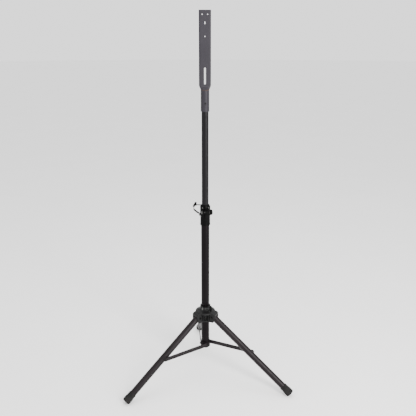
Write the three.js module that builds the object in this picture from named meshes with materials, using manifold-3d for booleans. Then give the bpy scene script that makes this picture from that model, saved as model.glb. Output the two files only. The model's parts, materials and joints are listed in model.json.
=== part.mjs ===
// A folding tripod stand with a telescopic pole and a flattened, drilled mounting head.
// Millimetres, +Z up. The stand is built about the pole's axis, and at the end the whole
// group is moved so that the origin is on the floor at the middle of the footprint's box.

import * as THREE from 'three';
import { mergeVertices } from 'three/addons/utils/BufferGeometryUtils.js';
import Module from 'manifold-3d';

const wasm = await Module();
wasm.setup();

// ---------------------------------------------------------------- driving dimensions

const GAP = 0.3; // clearance between pieces that touch
const ROUND = 28; // segments of a tube
const SMALL = 12; // segments of a screw or a small hole
const PAST = 60; // how far a cutter runs to be past every wall
const degrees = THREE.MathUtils.degToRad;

const POLE_R = 17.5;
const POLE_WALL = 1.5;
const POLE_BOTTOM = 620;
const POLE_TOP = 1566;

const COLUMN_R = 21.5;
const COLUMN_WALL = 1.5;
const COLUMN_BOTTOM = 176;
const COLUMN_TOP = 960;

const SOCKET_R = 21;
const SOCKET_WALL = 2.8;
const SOCKET_BOTTOM = 1467;
const PRESS_START = 1570; // where the round socket begins to be pressed flat
const PRESS_END = 1594;
const HEAD_TOP = 1937;
const HEAD_WIDTH = 58.4;
const HEAD_DEPTH = 13;

const LEG_COUNT = 3;
const FIRST_LEG = degrees(210);
const LEG_R = 17.5;
const LEG_WALL = 1.5;
const LEG_PIVOT_R = 46; // from the pole's axis
const LEG_PIVOT_Z = 365;
const FOOT_REACH = 498.7; // from the pole's axis to the middle of the foot's end
const FOOT_Z = 13.6;
const LEG_HEAD = 8; // tube past its own pivot
const FOOT_R = 21.5;
const FOOT_LENGTH = 56;
const FOOT_FLOOR = 7; // rubber under the tube's end

const STRUT_ROOT_Z = 193.2;
const STRUT_ON_LEG = 0.4903; // share of the way down the leg
const STRUT_SIDE = 24.1; // strut's middle plane from the leg's
const STRUT_THICK = 3.5;
const STRUT_R = 11;

const CLAMP_BOTTOM = 884;
const CLAMP_STEP = 936;
const CLAMP_TOP = 994;
const CLAMP_BOLT_Z = 960;

const HUB_BOTTOM = 338;
const HUB_SHOULDER = 401;
const HUB_TOP = 424;
const HUB_SLEEVE_R = 28;
const HUB_BORE_R = 24;
const HUB_BOLT_Z = 418;

const BOLT_FORWARD = 35; // clamp bolts in front of the pole's axis
const BOLT_R = 3.5;
const BOLT_HEAD_R = 7;
const BOLT_HEAD_THICK = 5;
const BOLT_SPARE = 8; // shank past the ear
const WASHER_R = 8;
const WASHER_THICK = 1.6;
const SLIT = 3; // width of a clamp's slit

const PIN_AZIMUTH = degrees(165);
const PIN_Z = 989;
const PIN_R = 3;

// ---------------------------------------------------------------- derived dimensions

const legSpan = new THREE.Vector2(FOOT_REACH - LEG_PIVOT_R, FOOT_Z - LEG_PIVOT_Z);
const LEG_LENGTH = legSpan.length();
const LEG_DROP = -legSpan.angle() + 2 * Math.PI; // below the horizontal
const STRUT_END_R = LEG_PIVOT_R + legSpan.x * STRUT_ON_LEG;
const STRUT_END_Z = LEG_PIVOT_Z + legSpan.y * STRUT_ON_LEG;
const STRUT_LENGTH = Math.hypot(STRUT_END_R, STRUT_END_Z - STRUT_ROOT_Z);
const STRUT_NEAR = STRUT_SIDE - STRUT_THICK / 2; // strut's face towards the leg
const STRUT_FAR = STRUT_SIDE + STRUT_THICK / 2;

// ---------------------------------------------------------------- materials

function finish(color, roughness, metalness) {
  return new THREE.MeshStandardMaterial({ color, roughness, metalness });
}

const blackCoat = () => finish(0x1d1c20, 0.45, 0.3);
const greyCoat = () => finish(0x55555c, 0.45, 0.4);
const blackPlastic = () => finish(0x121214, 0.55, 0);
const greyPlastic = () => finish(0x3b3b40, 0.6, 0);
const blackRubber = () => finish(0x161616, 0.85, 0);
const steel = () => finish(0xb5b5b2, 0.35, 0.9);
const darkSteel = () => finish(0x2a2a2c, 0.4, 0.8);

// ---------------------------------------------------------------- solids

function solid(geometry) {
  const bare = geometry.clone();
  bare.deleteAttribute('normal');
  bare.deleteAttribute('uv');
  const merged = mergeVertices(bare, 1e-4);
  return new wasm.Manifold(new wasm.Mesh({
    numProp: 3,
    vertProperties: new Float32Array(merged.attributes.position.array),
    triVerts: new Uint32Array(merged.index.array),
  }));
}

function join(first, ...others) {
  return others.reduce((whole, piece) => whole.add(piece), first);
}

function cut(first, ...others) {
  return others.reduce((whole, piece) => whole.subtract(piece), first);
}

function geometryOf(manifold) {
  const { vertProperties, triVerts } = manifold.getMesh();
  const geometry = new THREE.BufferGeometry();
  geometry.setAttribute('position', new THREE.BufferAttribute(vertProperties, 3));
  geometry.setIndex(new THREE.BufferAttribute(triVerts, 1));
  return geometry;
}

function node(name, manifold, material) {
  const mesh = new THREE.Mesh(geometryOf(manifold), material);
  mesh.name = name;
  return mesh;
}

// Outline of [radius, height] pairs, anticlockwise, turned about Z.
function turnedGeometry(outline, segments = ROUND) {
  const points = outline.map(([r, z]) => new THREE.Vector2(r, z));
  if (outline[0][0] > 0) {
    points.push(points[0].clone());
  }
  return new THREE.LatheGeometry(points, segments).rotateX(Math.PI / 2);
}

function turned(outline, segments = ROUND) {
  return solid(turnedGeometry(outline, segments));
}

function tube(outer, inner, low, high, segments = ROUND) {
  return turned([[inner, low], [outer, low], [outer, high], [inner, high]], segments);
}

// The same outline turned about X instead, heights running along +X.
function turnedAlongX(outline, segments = ROUND) {
  return solid(turnedGeometry(outline, segments).rotateY(Math.PI / 2));
}

function rod(radius, from, to, segments = SMALL) {
  const start = new THREE.Vector3(...from);
  const end = new THREE.Vector3(...to);
  const run = end.clone().sub(start);
  const turn = new THREE.Quaternion().setFromUnitVectors(
    new THREE.Vector3(0, 1, 0),
    run.clone().normalize(),
  );
  const middle = start.add(end).multiplyScalar(0.5);
  const shape = new THREE.CylinderGeometry(radius, radius, run.length(), segments);
  shape.applyQuaternion(turn).translate(middle.x, middle.y, middle.z);
  return solid(shape);
}

function box(low, high) {
  const size = high.map((value, axis) => value - low[axis]);
  const middle = high.map((value, axis) => (value + low[axis]) / 2);
  return solid(new THREE.BoxGeometry(...size).translate(...middle));
}

// A flat shape drawn in X and Z, given a thickness along Y from nearY to farY.
function plate(shape, nearY, farY, bevel = 0) {
  const options = {
    depth: farY - nearY - 2 * bevel,
    bevelEnabled: bevel > 0,
    bevelThickness: bevel,
    bevelSize: bevel,
    bevelOffset: -bevel,
    bevelSegments: 1,
    curveSegments: 8,
  };
  const shapeSolid = new THREE.ExtrudeGeometry(shape, options).rotateX(Math.PI / 2);
  return solid(shapeSolid.translate(0, farY - bevel, 0));
}

function polygon(points) {
  return new THREE.Shape(points.map(([x, z]) => new THREE.Vector2(x, z)));
}

// A hexagonal or round head on a shank, along +X from the head's outer face.
function fastener(headR, headThick, shankR, shankLength, sides = 6) {
  const head = turnedAlongX([[0, 0], [headR, 0], [headR, headThick], [0, headThick]], sides);
  return join(head, rod(shankR, [headThick - 0.5, 0, 0], [headThick + shankLength, 0, 0]));
}

// ---------------------------------------------------------------- flattened head

// A point on a rounded-end bar's outline, share of the way round from +X.
function barOutline(share, width, depth) {
  const endR = depth / 2;
  const flat = width - depth;
  const arc = Math.PI * endR;
  const total = 2 * flat + 2 * arc;
  const half = share < 0.5 ? 1 : -1;
  const along = (share % 0.5) * total;
  let x = flat / 2 - (along - arc / 2);
  let y = endR;
  if (along < arc / 2) {
    x = flat / 2 + endR * Math.cos(along / endR);
    y = endR * Math.sin(along / endR);
  } else if (along > arc / 2 + flat) {
    const turn = (along - flat) / endR;
    x = -flat / 2 + endR * Math.cos(turn);
    y = endR * Math.sin(turn);
  }
  return [x * half, y * half];
}

function smooth(value) {
  const share = THREE.MathUtils.clamp(value, 0, 1);
  return share * share * (3 - 2 * share);
}

// Presses a round tube flat above PRESS_START, keeping its wall.
function pressFlat(geometry) {
  const position = geometry.attributes.position;
  for (let i = 0; i < position.count; i += 1) {
    const x = position.getX(i);
    const y = position.getY(i);
    const inset = SOCKET_R - Math.hypot(x, y);
    const share = ((Math.atan2(y, x) / (2 * Math.PI)) + 1) % 1;
    const flat = barOutline(share, HEAD_WIDTH - 2 * inset, HEAD_DEPTH - 2 * inset);
    const amount = smooth((position.getZ(i) - PRESS_START) / (PRESS_END - PRESS_START));
    position.setX(i, x + (flat[0] - x) * amount);
    position.setY(i, y + (flat[1] - y) * amount);
  }
  return geometry;
}

function slotCutter(width, low, high) {
  const radius = width / 2;
  const shape = new THREE.Shape();
  shape.absarc(0, high - radius, radius, 0, Math.PI);
  shape.absarc(0, low + radius, radius, Math.PI, 2 * Math.PI);
  return plate(shape, -HEAD_DEPTH, HEAD_DEPTH);
}

function holeCutter(radius, x, z) {
  return rod(radius, [x, -HEAD_DEPTH, z], [x, HEAD_DEPTH, z], SMALL);
}

const HEAD_PAIR_X = 12.9;
const HEAD_PAIR_Z = 1917;
const HEAD_PAIR_R = 3.1;
const HEAD_SLOT = [6, 1873, 1885]; // width, bottom, top
const HEAD_HOLE_Z = 1818;
const HEAD_HOLE_R = 3.1;
const HEAD_LONG_SLOT = [9.5, 1596, 1676];
const SET_SCREW_Z = 1507;
const SET_SCREW_R = 4;
const HEX_R = 2; // hexagon socket of a grub screw
const HEX_DEPTH = 1.6;
const SCREW_SUNK = 0.6; // grub screw's end below the surface

function mountingHead() {
  const inner = SOCKET_R - SOCKET_WALL;
  const heights = [SOCKET_BOTTOM, PRESS_START];
  const steps = 4;
  for (let step = 1; step <= steps; step += 1) {
    heights.push(PRESS_START + ((PRESS_END - PRESS_START) * step) / steps);
  }
  heights.push(HEAD_TOP);
  const outside = heights.map((z) => [SOCKET_R, z]);
  const inside = heights.map((z) => [inner, z]).reverse();
  const blank = solid(pressFlat(turnedGeometry([...outside, ...inside], 36)));
  return cut(
    blank,
    holeCutter(HEAD_PAIR_R, -HEAD_PAIR_X, HEAD_PAIR_Z),
    holeCutter(HEAD_PAIR_R, HEAD_PAIR_X, HEAD_PAIR_Z),
    slotCutter(...HEAD_SLOT),
    holeCutter(HEAD_HOLE_R, 0, HEAD_HOLE_Z),
    slotCutter(...HEAD_LONG_SLOT),
    rod(SET_SCREW_R + GAP, [0, -PAST, SET_SCREW_Z], [0, 0, SET_SCREW_Z]),
  );
}

// A grub screw with a hexagon socket, its tip just clear of the pole.
function setScrew() {
  const outer = -SOCKET_R + SCREW_SUNK;
  const body = rod(SET_SCREW_R, [0, outer, SET_SCREW_Z], [0, -POLE_R - GAP, SET_SCREW_Z]);
  const socket = rod(HEX_R, [0, -PAST, SET_SCREW_Z], [0, outer + HEX_DEPTH, SET_SCREW_Z], 6);
  return cut(body, socket);
}

// ---------------------------------------------------------------- pole

const PIN_HOLE_PITCH = 60;
const PIN_HOLES_BELOW = 5;
const PIN_HOLES_ABOVE = 7;
const PIN_HOLE_SLACK = 0.5;
const GUIDE_RIM = 14; // below the pole's end
const GUIDE_SPIGOT = 28; // inside the pole
const GUIDE_WALL = 2;

function pole() {
  let body = tube(POLE_R, POLE_R - POLE_WALL, POLE_BOTTOM, POLE_TOP);
  const out = [Math.cos(PIN_AZIMUTH) * PAST, Math.sin(PIN_AZIMUTH) * PAST];
  for (let index = -PIN_HOLES_BELOW; index <= PIN_HOLES_ABOVE; index += 1) {
    const z = PIN_Z + index * PIN_HOLE_PITCH;
    body = cut(body, rod(PIN_R + PIN_HOLE_SLACK, [0, 0, z], [...out, z], 8));
  }
  return body;
}

// A plastic guide on the pole's lower end, running in the column.
function poleGuide() {
  const outer = COLUMN_R - COLUMN_WALL - GAP;
  const spigot = POLE_R - POLE_WALL - GAP;
  const bottom = POLE_BOTTOM - GUIDE_RIM;
  return turned([
    [spigot - GUIDE_WALL, bottom], [outer - 1, bottom], [outer, bottom + 2],
    [outer, POLE_BOTTOM - GAP], [spigot, POLE_BOTTOM - GAP], [spigot, POLE_BOTTOM + GUIDE_SPIGOT],
    [spigot - GUIDE_WALL, POLE_BOTTOM + GUIDE_SPIGOT],
  ]);
}

// ---------------------------------------------------------------- column and pole clamp

function column() {
  return tube(COLUMN_R, COLUMN_R - COLUMN_WALL, COLUMN_BOTTOM, COLUMN_TOP);
}

const PLUG_RIM = 2.5; // below the column's end
const PLUG_SPIGOT = 12; // inside the column
const PLUG_CHAMFER = 1;

function columnPlug() {
  const spigot = COLUMN_R - COLUMN_WALL - GAP;
  const bottom = COLUMN_BOTTOM - PLUG_RIM;
  return turned([
    [0, bottom], [COLUMN_R - PLUG_CHAMFER, bottom], [COLUMN_R, bottom + PLUG_CHAMFER],
    [COLUMN_R, COLUMN_BOTTOM - GAP], [spigot, COLUMN_BOTTOM - GAP],
    [spigot, COLUMN_BOTTOM + PLUG_SPIGOT], [0, COLUMN_BOTTOM + PLUG_SPIGOT],
  ]);
}

const LINER_DEPTH = 60; // inside the column
const LINER_RIM = 5; // above the column's end

// Plastic liner in the column's mouth, with a rim over the column's end.
function clampLiner() {
  const inner = POLE_R + GAP;
  const outer = COLUMN_R - COLUMN_WALL - GAP;
  return turned([
    [inner, COLUMN_TOP - LINER_DEPTH], [outer, COLUMN_TOP - LINER_DEPTH],
    [outer, COLUMN_TOP + GAP], [COLUMN_R - 0.5, COLUMN_TOP + GAP],
    [COLUMN_R - 0.5, COLUMN_TOP + LINER_RIM], [inner, COLUMN_TOP + LINER_RIM],
  ]);
}

const CLAMP_R = 26.5;
const CLAMP_SLEEVE_R = 25.5;
const CLAMP_FLARE = 1; // at the sleeve's mouth
const CLAMP_FLARE_HEIGHT = 4;
const CLAMP_CONE = 8; // height of the conical top
const CLAMP_CONE_R = POLE_R + 3;
const CLAMP_EAR_LEFT = -17;
const CLAMP_EAR_RIGHT = 18;
const CLAMP_EAR_R = 10;
const CLAMP_SLIT_X = -5;
const CLAMP_SLIT_DROP = 12; // how far the slit runs below the step
const EAR_ROOT = -22; // where the ears have reached the wall
const RIVET_R = 2.4;
const RIVET_TURN = degrees(35); // each side of the front
const RIVET_SHANK = 5.4;
const RIVET_HEAD_R = 3.6;
const RIVET_HEAD_THICK = 2.2;
const CLAMP_RIVET_Z = 980.5;
const ANCHOR_Z = 935;
const ANCHOR_R = 2;
const ANCHOR_INNER = COLUMN_R + 1.7; // the lanyard screw's inner end

// A radial line at an angle from the front (-Y), anticlockwise from above.
function radial(turn, radius, z) {
  return [Math.sin(turn) * radius, -Math.cos(turn) * radius, z];
}

// Two ears across the front, joined to the wall behind them, for a bolt along X.
function clampEars(left, right, radius, z) {
  return join(
    rod(radius, [left, -BOLT_FORWARD, z], [right, -BOLT_FORWARD, z], 24),
    box([left, -BOLT_FORWARD, z - radius], [right, EAR_ROOT, z + radius]),
  );
}

function boltHole(z) {
  return rod(BOLT_R + GAP, [-PAST, -BOLT_FORWARD, z], [PAST, -BOLT_FORWARD, z]);
}

function clampHousing() {
  const bore = COLUMN_R + GAP;
  const neck = POLE_R + 2 * GAP;
  const rim = COLUMN_TOP + LINER_RIM + GAP;
  const coneFoot = CLAMP_TOP - CLAMP_CONE;
  const flareTop = CLAMP_BOTTOM + CLAMP_FLARE_HEIGHT;
  const body = turned([
    [bore, CLAMP_BOTTOM], [CLAMP_SLEEVE_R + CLAMP_FLARE, CLAMP_BOTTOM],
    [CLAMP_SLEEVE_R + CLAMP_FLARE, flareTop], [CLAMP_SLEEVE_R, flareTop + 3],
    [CLAMP_SLEEVE_R, CLAMP_STEP - 3], [CLAMP_R, CLAMP_STEP], [CLAMP_R, coneFoot - 3],
    [CLAMP_R - 1.5, coneFoot], [CLAMP_CONE_R, CLAMP_TOP], [neck, CLAMP_TOP],
    [neck, rim], [bore, rim],
  ]);
  const ears = clampEars(CLAMP_EAR_LEFT, CLAMP_EAR_RIGHT, CLAMP_EAR_R, CLAMP_BOLT_Z);
  const slit = box(
    [CLAMP_SLIT_X - SLIT / 2, -PAST, CLAMP_STEP - CLAMP_SLIT_DROP],
    [CLAMP_SLIT_X + SLIT / 2, -COLUMN_R + 8, CLAMP_TOP + 1],
  );
  const rivetHoles = [-RIVET_TURN, RIVET_TURN].map((turn) => rod(
    RIVET_R + GAP,
    radial(turn, CLAMP_CONE_R - 0.5, CLAMP_RIVET_Z),
    radial(turn, PAST, CLAMP_RIVET_Z),
  ));
  const toPin = (radius, z) => [
    Math.cos(PIN_AZIMUTH) * radius,
    Math.sin(PIN_AZIMUTH) * radius,
    z,
  ];
  return cut(
    join(body, ears),
    slit,
    boltHole(CLAMP_BOLT_Z),
    ...rivetHoles,
    rod(PIN_R + GAP, toPin(0, PIN_Z), toPin(PAST, PIN_Z)),
    rod(ANCHOR_R + GAP, toPin(ANCHOR_INNER - GAP, ANCHOR_Z), toPin(PAST, ANCHOR_Z)),
  );
}

function clampBolt(reach) {
  return fastener(BOLT_HEAD_R, BOLT_HEAD_THICK, BOLT_R, reach);
}

const KNOB_R = 16;
const KNOB_THICK = 15;
const KNOB_LOBES = 5;
const KNOB_WAIST = 0.12; // how deep the hollows between lobes are, as a share

// A lobed hand knob on the +X side, its back face at x = 0.
function lobedKnob(radius, thick, lobes) {
  const shape = new THREE.Shape();
  const points = 8 * lobes;
  const outline = [];
  for (let index = 0; index < points; index += 1) {
    const angle = (index / points) * 2 * Math.PI;
    const reach = radius * (1 - KNOB_WAIST + KNOB_WAIST * Math.cos(angle * lobes));
    outline.push(new THREE.Vector2(reach * Math.cos(angle), reach * Math.sin(angle)));
  }
  shape.setFromPoints(outline);
  const lobed = solid(new THREE.ExtrudeGeometry(shape, { depth: thick, bevelEnabled: false })
    .rotateY(Math.PI / 2));
  const dome = turnedAlongX([
    [0, 0], [radius * 0.5, 0], [radius * 0.95, 3], [radius, 5], [radius, thick * 0.45],
    [radius * 0.8, thick * 0.78], [radius * 0.45, thick], [0, thick],
  ], 40);
  return cut(lobed.intersect(dome), rod(BOLT_R + GAP, [-1, 0, 0], [thick * 0.7, 0, 0]));
}

const WING_REACH = 17;
const WING_TIP_R = 4.5;
const WING_ROOT = 7; // half the height at the middle
const WING_THICK = 9;
const WING_BEVEL = 1;
const WING_BACK = 4; // clear of the washer
const WING_BOSS_R = 8;
const WING_BOSS_LENGTH = 14;

// A two-winged hand nut on the +X side, its back face at x = 0.
function wingNut(reach) {
  const shape = new THREE.Shape();
  const tip = reach - WING_TIP_R;
  shape.absarc(0, tip, WING_TIP_R, 0, Math.PI);
  shape.lineTo(-WING_ROOT, 0);
  shape.absarc(0, -tip, WING_TIP_R, Math.PI, 2 * Math.PI);
  shape.lineTo(WING_ROOT, 0);
  const wings = solid(new THREE.ExtrudeGeometry(shape, {
    depth: WING_THICK - 2 * WING_BEVEL,
    bevelEnabled: true,
    bevelThickness: WING_BEVEL,
    bevelSize: WING_BEVEL,
    bevelOffset: -WING_BEVEL,
    bevelSegments: 1,
    curveSegments: 8,
  }).rotateZ(Math.PI / 2).rotateY(Math.PI / 2).translate(WING_BACK + WING_BEVEL, 0, 0));
  const boss = turnedAlongX([
    [0, 0], [WING_BOSS_R, 0], [WING_BOSS_R - 1, WING_BOSS_LENGTH], [0, WING_BOSS_LENGTH],
  ], 20);
  return cut(join(boss, wings), rod(BOLT_R + GAP, [-1, 0, 0], [WING_BOSS_LENGTH - 3, 0, 0]));
}

function headRivet() {
  const top = RIVET_SHANK + RIVET_HEAD_THICK;
  return turnedAlongX([
    [0, 0], [RIVET_R, 0], [RIVET_R, RIVET_SHANK], [RIVET_HEAD_R, RIVET_SHANK],
    [RIVET_HEAD_R - 0.6, top - 0.6], [0, top],
  ], SMALL);
}

// ---------------------------------------------------------------- locking pin and lanyard

const PIN_NOSE = POLE_R + 0.9; // drawn back just clear of the pole
const PIN_HEAD = 49;
const PIN_IN_HANDLE = 4;
const HANDLE_LEAN = degrees(30);
const HANDLE_HALF = 16;
const HANDLE_R = 5.8;
const TAB_HALF = 2.6; // of the flattened end that holds the ring
const TAB_TOP = 3.5; // above the ring's eye
const HANDLE_SLEEVE_R = 6;
const RING_R = 6.5;
const RING_WIRE = 0.8;
const RING_EYE_R = 2;
const CORD_R = 4.4;
const EYE_R = 5;
const EYE_THICK = 3;
const EYE_LUG = 10; // from the eye's middle up to the cord's end

function lockingPin() {
  const end = PIN_HEAD + PIN_IN_HANDLE;
  return turnedAlongX([
    [0, PIN_NOSE], [PIN_R - 1, PIN_NOSE], [PIN_R, PIN_NOSE + 1.5], [PIN_R, end], [0, end],
  ], SMALL);
}

// Middle of the handle's lower round end, where the ring's eye is.
function handleFoot() {
  const along = HANDLE_HALF - HANDLE_R;
  return {
    x: PIN_HEAD + HANDLE_R + Math.sin(HANDLE_LEAN) * along,
    z: -Math.cos(HANDLE_LEAN) * along,
  };
}

// A short grip across the pin, leaning outwards at its foot, with an eye for the ring.
function pinHandle() {
  const geometry = new THREE.CapsuleGeometry(HANDLE_R, 2 * (HANDLE_HALF - HANDLE_R), 4, 14);
  geometry.rotateX(Math.PI / 2).rotateY(-HANDLE_LEAN);
  const grip = solid(geometry.translate(PIN_HEAD + HANDLE_R, 0, 0));
  const sleeve = rod(HANDLE_SLEEVE_R, [PIN_HEAD - 3, 0, 0], [PIN_HEAD + HANDLE_R, 0, 0]);
  const foot = handleFoot();
  const eye = rod(RING_EYE_R, [foot.x, -PAST, foot.z], [foot.x, PAST, foot.z]);
  const sides = [-PAST, TAB_HALF].map((y) => box(
    [foot.x - 2 * HANDLE_R, y, foot.z - PAST],
    [foot.x + PAST, y + PAST - TAB_HALF, foot.z + TAB_TOP],
  ));
  const socket = rod(PIN_R + GAP, [0, 0, 0], [PIN_HEAD + PIN_IN_HANDLE + GAP, 0, 0]);
  return cut(join(grip, sleeve), socket, eye, ...sides);
}

function pinRing() {
  const foot = handleFoot();
  const ring = new THREE.TorusGeometry(RING_R, RING_WIRE, 6, 20).rotateY(Math.PI / 2);
  return solid(ring.translate(foot.x, 0, foot.z - RING_R));
}

// A coated lanyard from a screw in the clamp housing out to just under the ring.
function lanyard() {
  const foot = handleFoot();
  const wall = CLAMP_R + GAP;
  const eyeZ = ANCHOR_Z - PIN_Z;
  const ringFoot = foot.z - 2 * RING_R;
  const route = new THREE.CatmullRomCurve3([
    new THREE.Vector3(wall + 2.9, 0, eyeZ + 9),
    new THREE.Vector3(wall + 8.7, 0, eyeZ + 10.5),
    new THREE.Vector3(wall + 16.7, 0, eyeZ + 15.5),
    new THREE.Vector3(foot.x - 4.5, 0, ringFoot - 7.5),
    new THREE.Vector3(foot.x, 0, ringFoot - 3.2),
  ]);
  const section = new THREE.Shape().absarc(0, 0, CORD_R, 0, 2 * Math.PI);
  const cord = solid(new THREE.ExtrudeGeometry(section, {
    steps: 12,
    curveSegments: 5,
    extrudePath: route,
  }));
  const eye = join(
    rod(EYE_R, [wall, 0, eyeZ], [wall + EYE_THICK, 0, eyeZ]),
    box([wall, -CORD_R, eyeZ], [wall + EYE_THICK, CORD_R, eyeZ + EYE_LUG]),
  );
  return cut(join(eye, cord), rod(ANCHOR_R + GAP, [0, 0, eyeZ], [wall + 2 * EYE_THICK, 0, eyeZ]));
}

const PAN_R = 4;
const PAN_TOP_R = 2.6;
const PAN_THICK = 2.6;

// A pan-head screw whose head holds the lanyard's eye against the housing.
function lanyardScrew() {
  const shank = CLAMP_R + EYE_THICK + 2 * GAP - ANCHOR_INNER;
  const top = shank + PAN_THICK;
  return turnedAlongX([
    [0, 0], [ANCHOR_R, 0], [ANCHOR_R, shank], [PAN_R, shank], [PAN_R, shank + 1],
    [PAN_TOP_R, top], [0, top],
  ], SMALL);
}

// ---------------------------------------------------------------- hub

const LOBE_HALF = 24;
const LOBE_REACH = 67;
const LOBE_INNER = 20; // inside the sleeve's wall
const LOBE_CHEEK = 18.4; // half the leg's slot
const LOBE_BEVEL = 2;
const LEG_BOLT_R = 4;
const HUB_ROOF_FALL = 13; // from the sleeve to a lobe's end
const HUB_FLANGE_R = 54; // rim between the lobes
const HUB_RIM_R = 38; // rim round the hub's foot
const HUB_EAR_HALF = 16;
const HUB_EAR_R = 7.5;
const HUB_WALL_R = HUB_BORE_R + 2.2; // wall left between each leg and the column
const HUB_ROUND = 32;

// Side outline of one lobe in radius and height.
function lobeShape() {
  return polygon([
    [LOBE_INNER, HUB_BOTTOM], [LOBE_REACH - 11, HUB_BOTTOM], [LOBE_REACH, HUB_BOTTOM + 14],
    [LOBE_REACH, HUB_SHOULDER - HUB_ROOF_FALL - 6], [LOBE_REACH - 5, HUB_SHOULDER - HUB_ROOF_FALL],
    [HUB_SLEEVE_R, HUB_SHOULDER], [LOBE_INNER, HUB_SHOULDER],
  ]);
}

// What the leg sweeps inside a lobe, from spread to folded.
function legSweep() {
  const reach = 200;
  const radius = Math.hypot(LEG_R, LEG_HEAD) + 1;
  const cutter = new THREE.Shape();
  const upper = Math.PI / 2 - LEG_DROP; // normal to the spread leg's upper side
  cutter.absarc(LEG_PIVOT_R, LEG_PIVOT_Z, radius, upper, Math.PI);
  cutter.lineTo(LEG_PIVOT_R - radius, LEG_PIVOT_Z - reach);
  cutter.lineTo(
    LEG_PIVOT_R + Math.cos(upper) * radius + Math.cos(LEG_DROP) * reach,
    LEG_PIVOT_Z + Math.sin(upper) * radius - Math.sin(LEG_DROP) * reach,
  );
  return plate(cutter, -LOBE_CHEEK, LOBE_CHEEK);
}

function lobe(azimuth) {
  return turnedAboutZ(plate(lobeShape(), -LOBE_HALF, LOBE_HALF, LOBE_BEVEL), azimuth);
}

function turnedAboutZ(manifold, azimuth) {
  return solid(geometryOf(manifold).rotateZ(azimuth));
}

function legAzimuth(index) {
  return FIRST_LEG + (index * 2 * Math.PI) / LEG_COUNT;
}

function hub() {
  const inside = HUB_BORE_R - 2;
  const flange = HUB_SHOULDER - HUB_ROOF_FALL;
  const body = turned([
    [inside, HUB_BOTTOM], [HUB_RIM_R - 2, HUB_BOTTOM], [HUB_RIM_R, HUB_BOTTOM + 3],
    [HUB_RIM_R, HUB_BOTTOM + 8], [HUB_SLEEVE_R, HUB_BOTTOM + 12],
    [HUB_SLEEVE_R, flange], [HUB_FLANGE_R - 4, flange - 4], [HUB_FLANGE_R, flange],
    [HUB_FLANGE_R - 1, flange + 5], [HUB_SLEEVE_R + 1, HUB_SHOULDER], [HUB_SLEEVE_R, HUB_TOP - 2],
    [HUB_SLEEVE_R - 2, HUB_TOP], [inside, HUB_TOP],
  ], HUB_ROUND);
  const azimuths = Array.from({ length: LEG_COUNT }, (_, index) => legAzimuth(index));
  const pivot = rod(
    LEG_BOLT_R + GAP,
    [LEG_PIVOT_R, -PAST, LEG_PIVOT_Z],
    [LEG_PIVOT_R, PAST, LEG_PIVOT_Z],
  );
  const slots = azimuths.flatMap((azimuth) => [
    turnedAboutZ(legSweep(), azimuth),
    turnedAboutZ(pivot, azimuth),
  ]);
  const slit = box(
    [-SLIT / 2, -PAST, HUB_SHOULDER + 3],
    [SLIT / 2, -HUB_BORE_R + 8, HUB_TOP + 1],
  );
  const whole = join(
    body,
    clampEars(-HUB_EAR_HALF, HUB_EAR_HALF, HUB_EAR_R, HUB_BOLT_Z),
    ...azimuths.map(lobe),
  );
  return cut(
    join(cut(whole, ...slots), tube(HUB_WALL_R, inside, HUB_BOTTOM, HUB_TOP, HUB_ROUND)),
    rod(HUB_BORE_R, [0, 0, HUB_BOTTOM - 5], [0, 0, HUB_TOP + 5], HUB_ROUND),
    slit,
    boltHole(HUB_BOLT_Z),
  );
}

function hubLiner() {
  return tube(HUB_BORE_R - GAP, COLUMN_R + GAP, HUB_BOTTOM + 2, HUB_TOP - 2, HUB_ROUND);
}

// ---------------------------------------------------------------- leg, foot and strut

// In the leg's own frame the pivot is the origin and the tube runs along +X.
function leg() {
  const end = LEG_LENGTH - FOOT_FLOOR - GAP;
  const inner = LEG_R - LEG_WALL;
  const body = turnedAlongX([[inner, -LEG_HEAD], [LEG_R, -LEG_HEAD], [LEG_R, end], [inner, end]]);
  return cut(body, rod(LEG_BOLT_R + GAP, [0, -PAST, 0], [0, PAST, 0]));
}

const BOSS_R = 9;

// A boss on the leg's side that carries the strut's outer pivot.
function strutBoss() {
  const x = LEG_LENGTH * STRUT_ON_LEG;
  const block = rod(BOSS_R, [x, LEG_R - 6, 0], [x, STRUT_NEAR - GAP, 0], 20);
  return cut(block, rod(LEG_R + GAP, [x - PAST, 0, 0], [x + PAST, 0, 0], ROUND));
}

const FOOT_SLEEVE_R = LEG_R + 2.6;
const FOOT_SLEEVE_LENGTH = 22;
const FOOT_TAPER = 8;

// A rubber boot on the leg's end, cut flat where it meets the floor.
function foot(floorInLeg) {
  const start = LEG_LENGTH - FOOT_LENGTH;
  const step = start + FOOT_SLEEVE_LENGTH;
  const inside = LEG_LENGTH - FOOT_FLOOR;
  const cap = turnedAlongX([
    [0, start], [FOOT_SLEEVE_R - 0.6, start], [FOOT_SLEEVE_R, start + 2], [FOOT_SLEEVE_R, step],
    [FOOT_R, step + FOOT_TAPER], [FOOT_R, LEG_LENGTH - 5], [FOOT_R - 1.5, LEG_LENGTH - 1.5],
    [FOOT_R - 5, LEG_LENGTH], [0, LEG_LENGTH],
  ]);
  const socket = turnedAlongX([
    [0, start - 1], [LEG_R + GAP, start - 1], [LEG_R + GAP, inside], [0, inside],
  ]);
  return cut(cap, socket, floorInLeg);
}

const STRUT_END = 13; // past the root's pivot
const STRUT_CORNER_R = 4;
const STRUT_PIN_R = 3.9;
const STRUT_HEAD_R = 7;
const STRUT_RIVET_TOP = 3; // above the strut's face
const STRUT_SCREW_TOP = 4.5;

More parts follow.
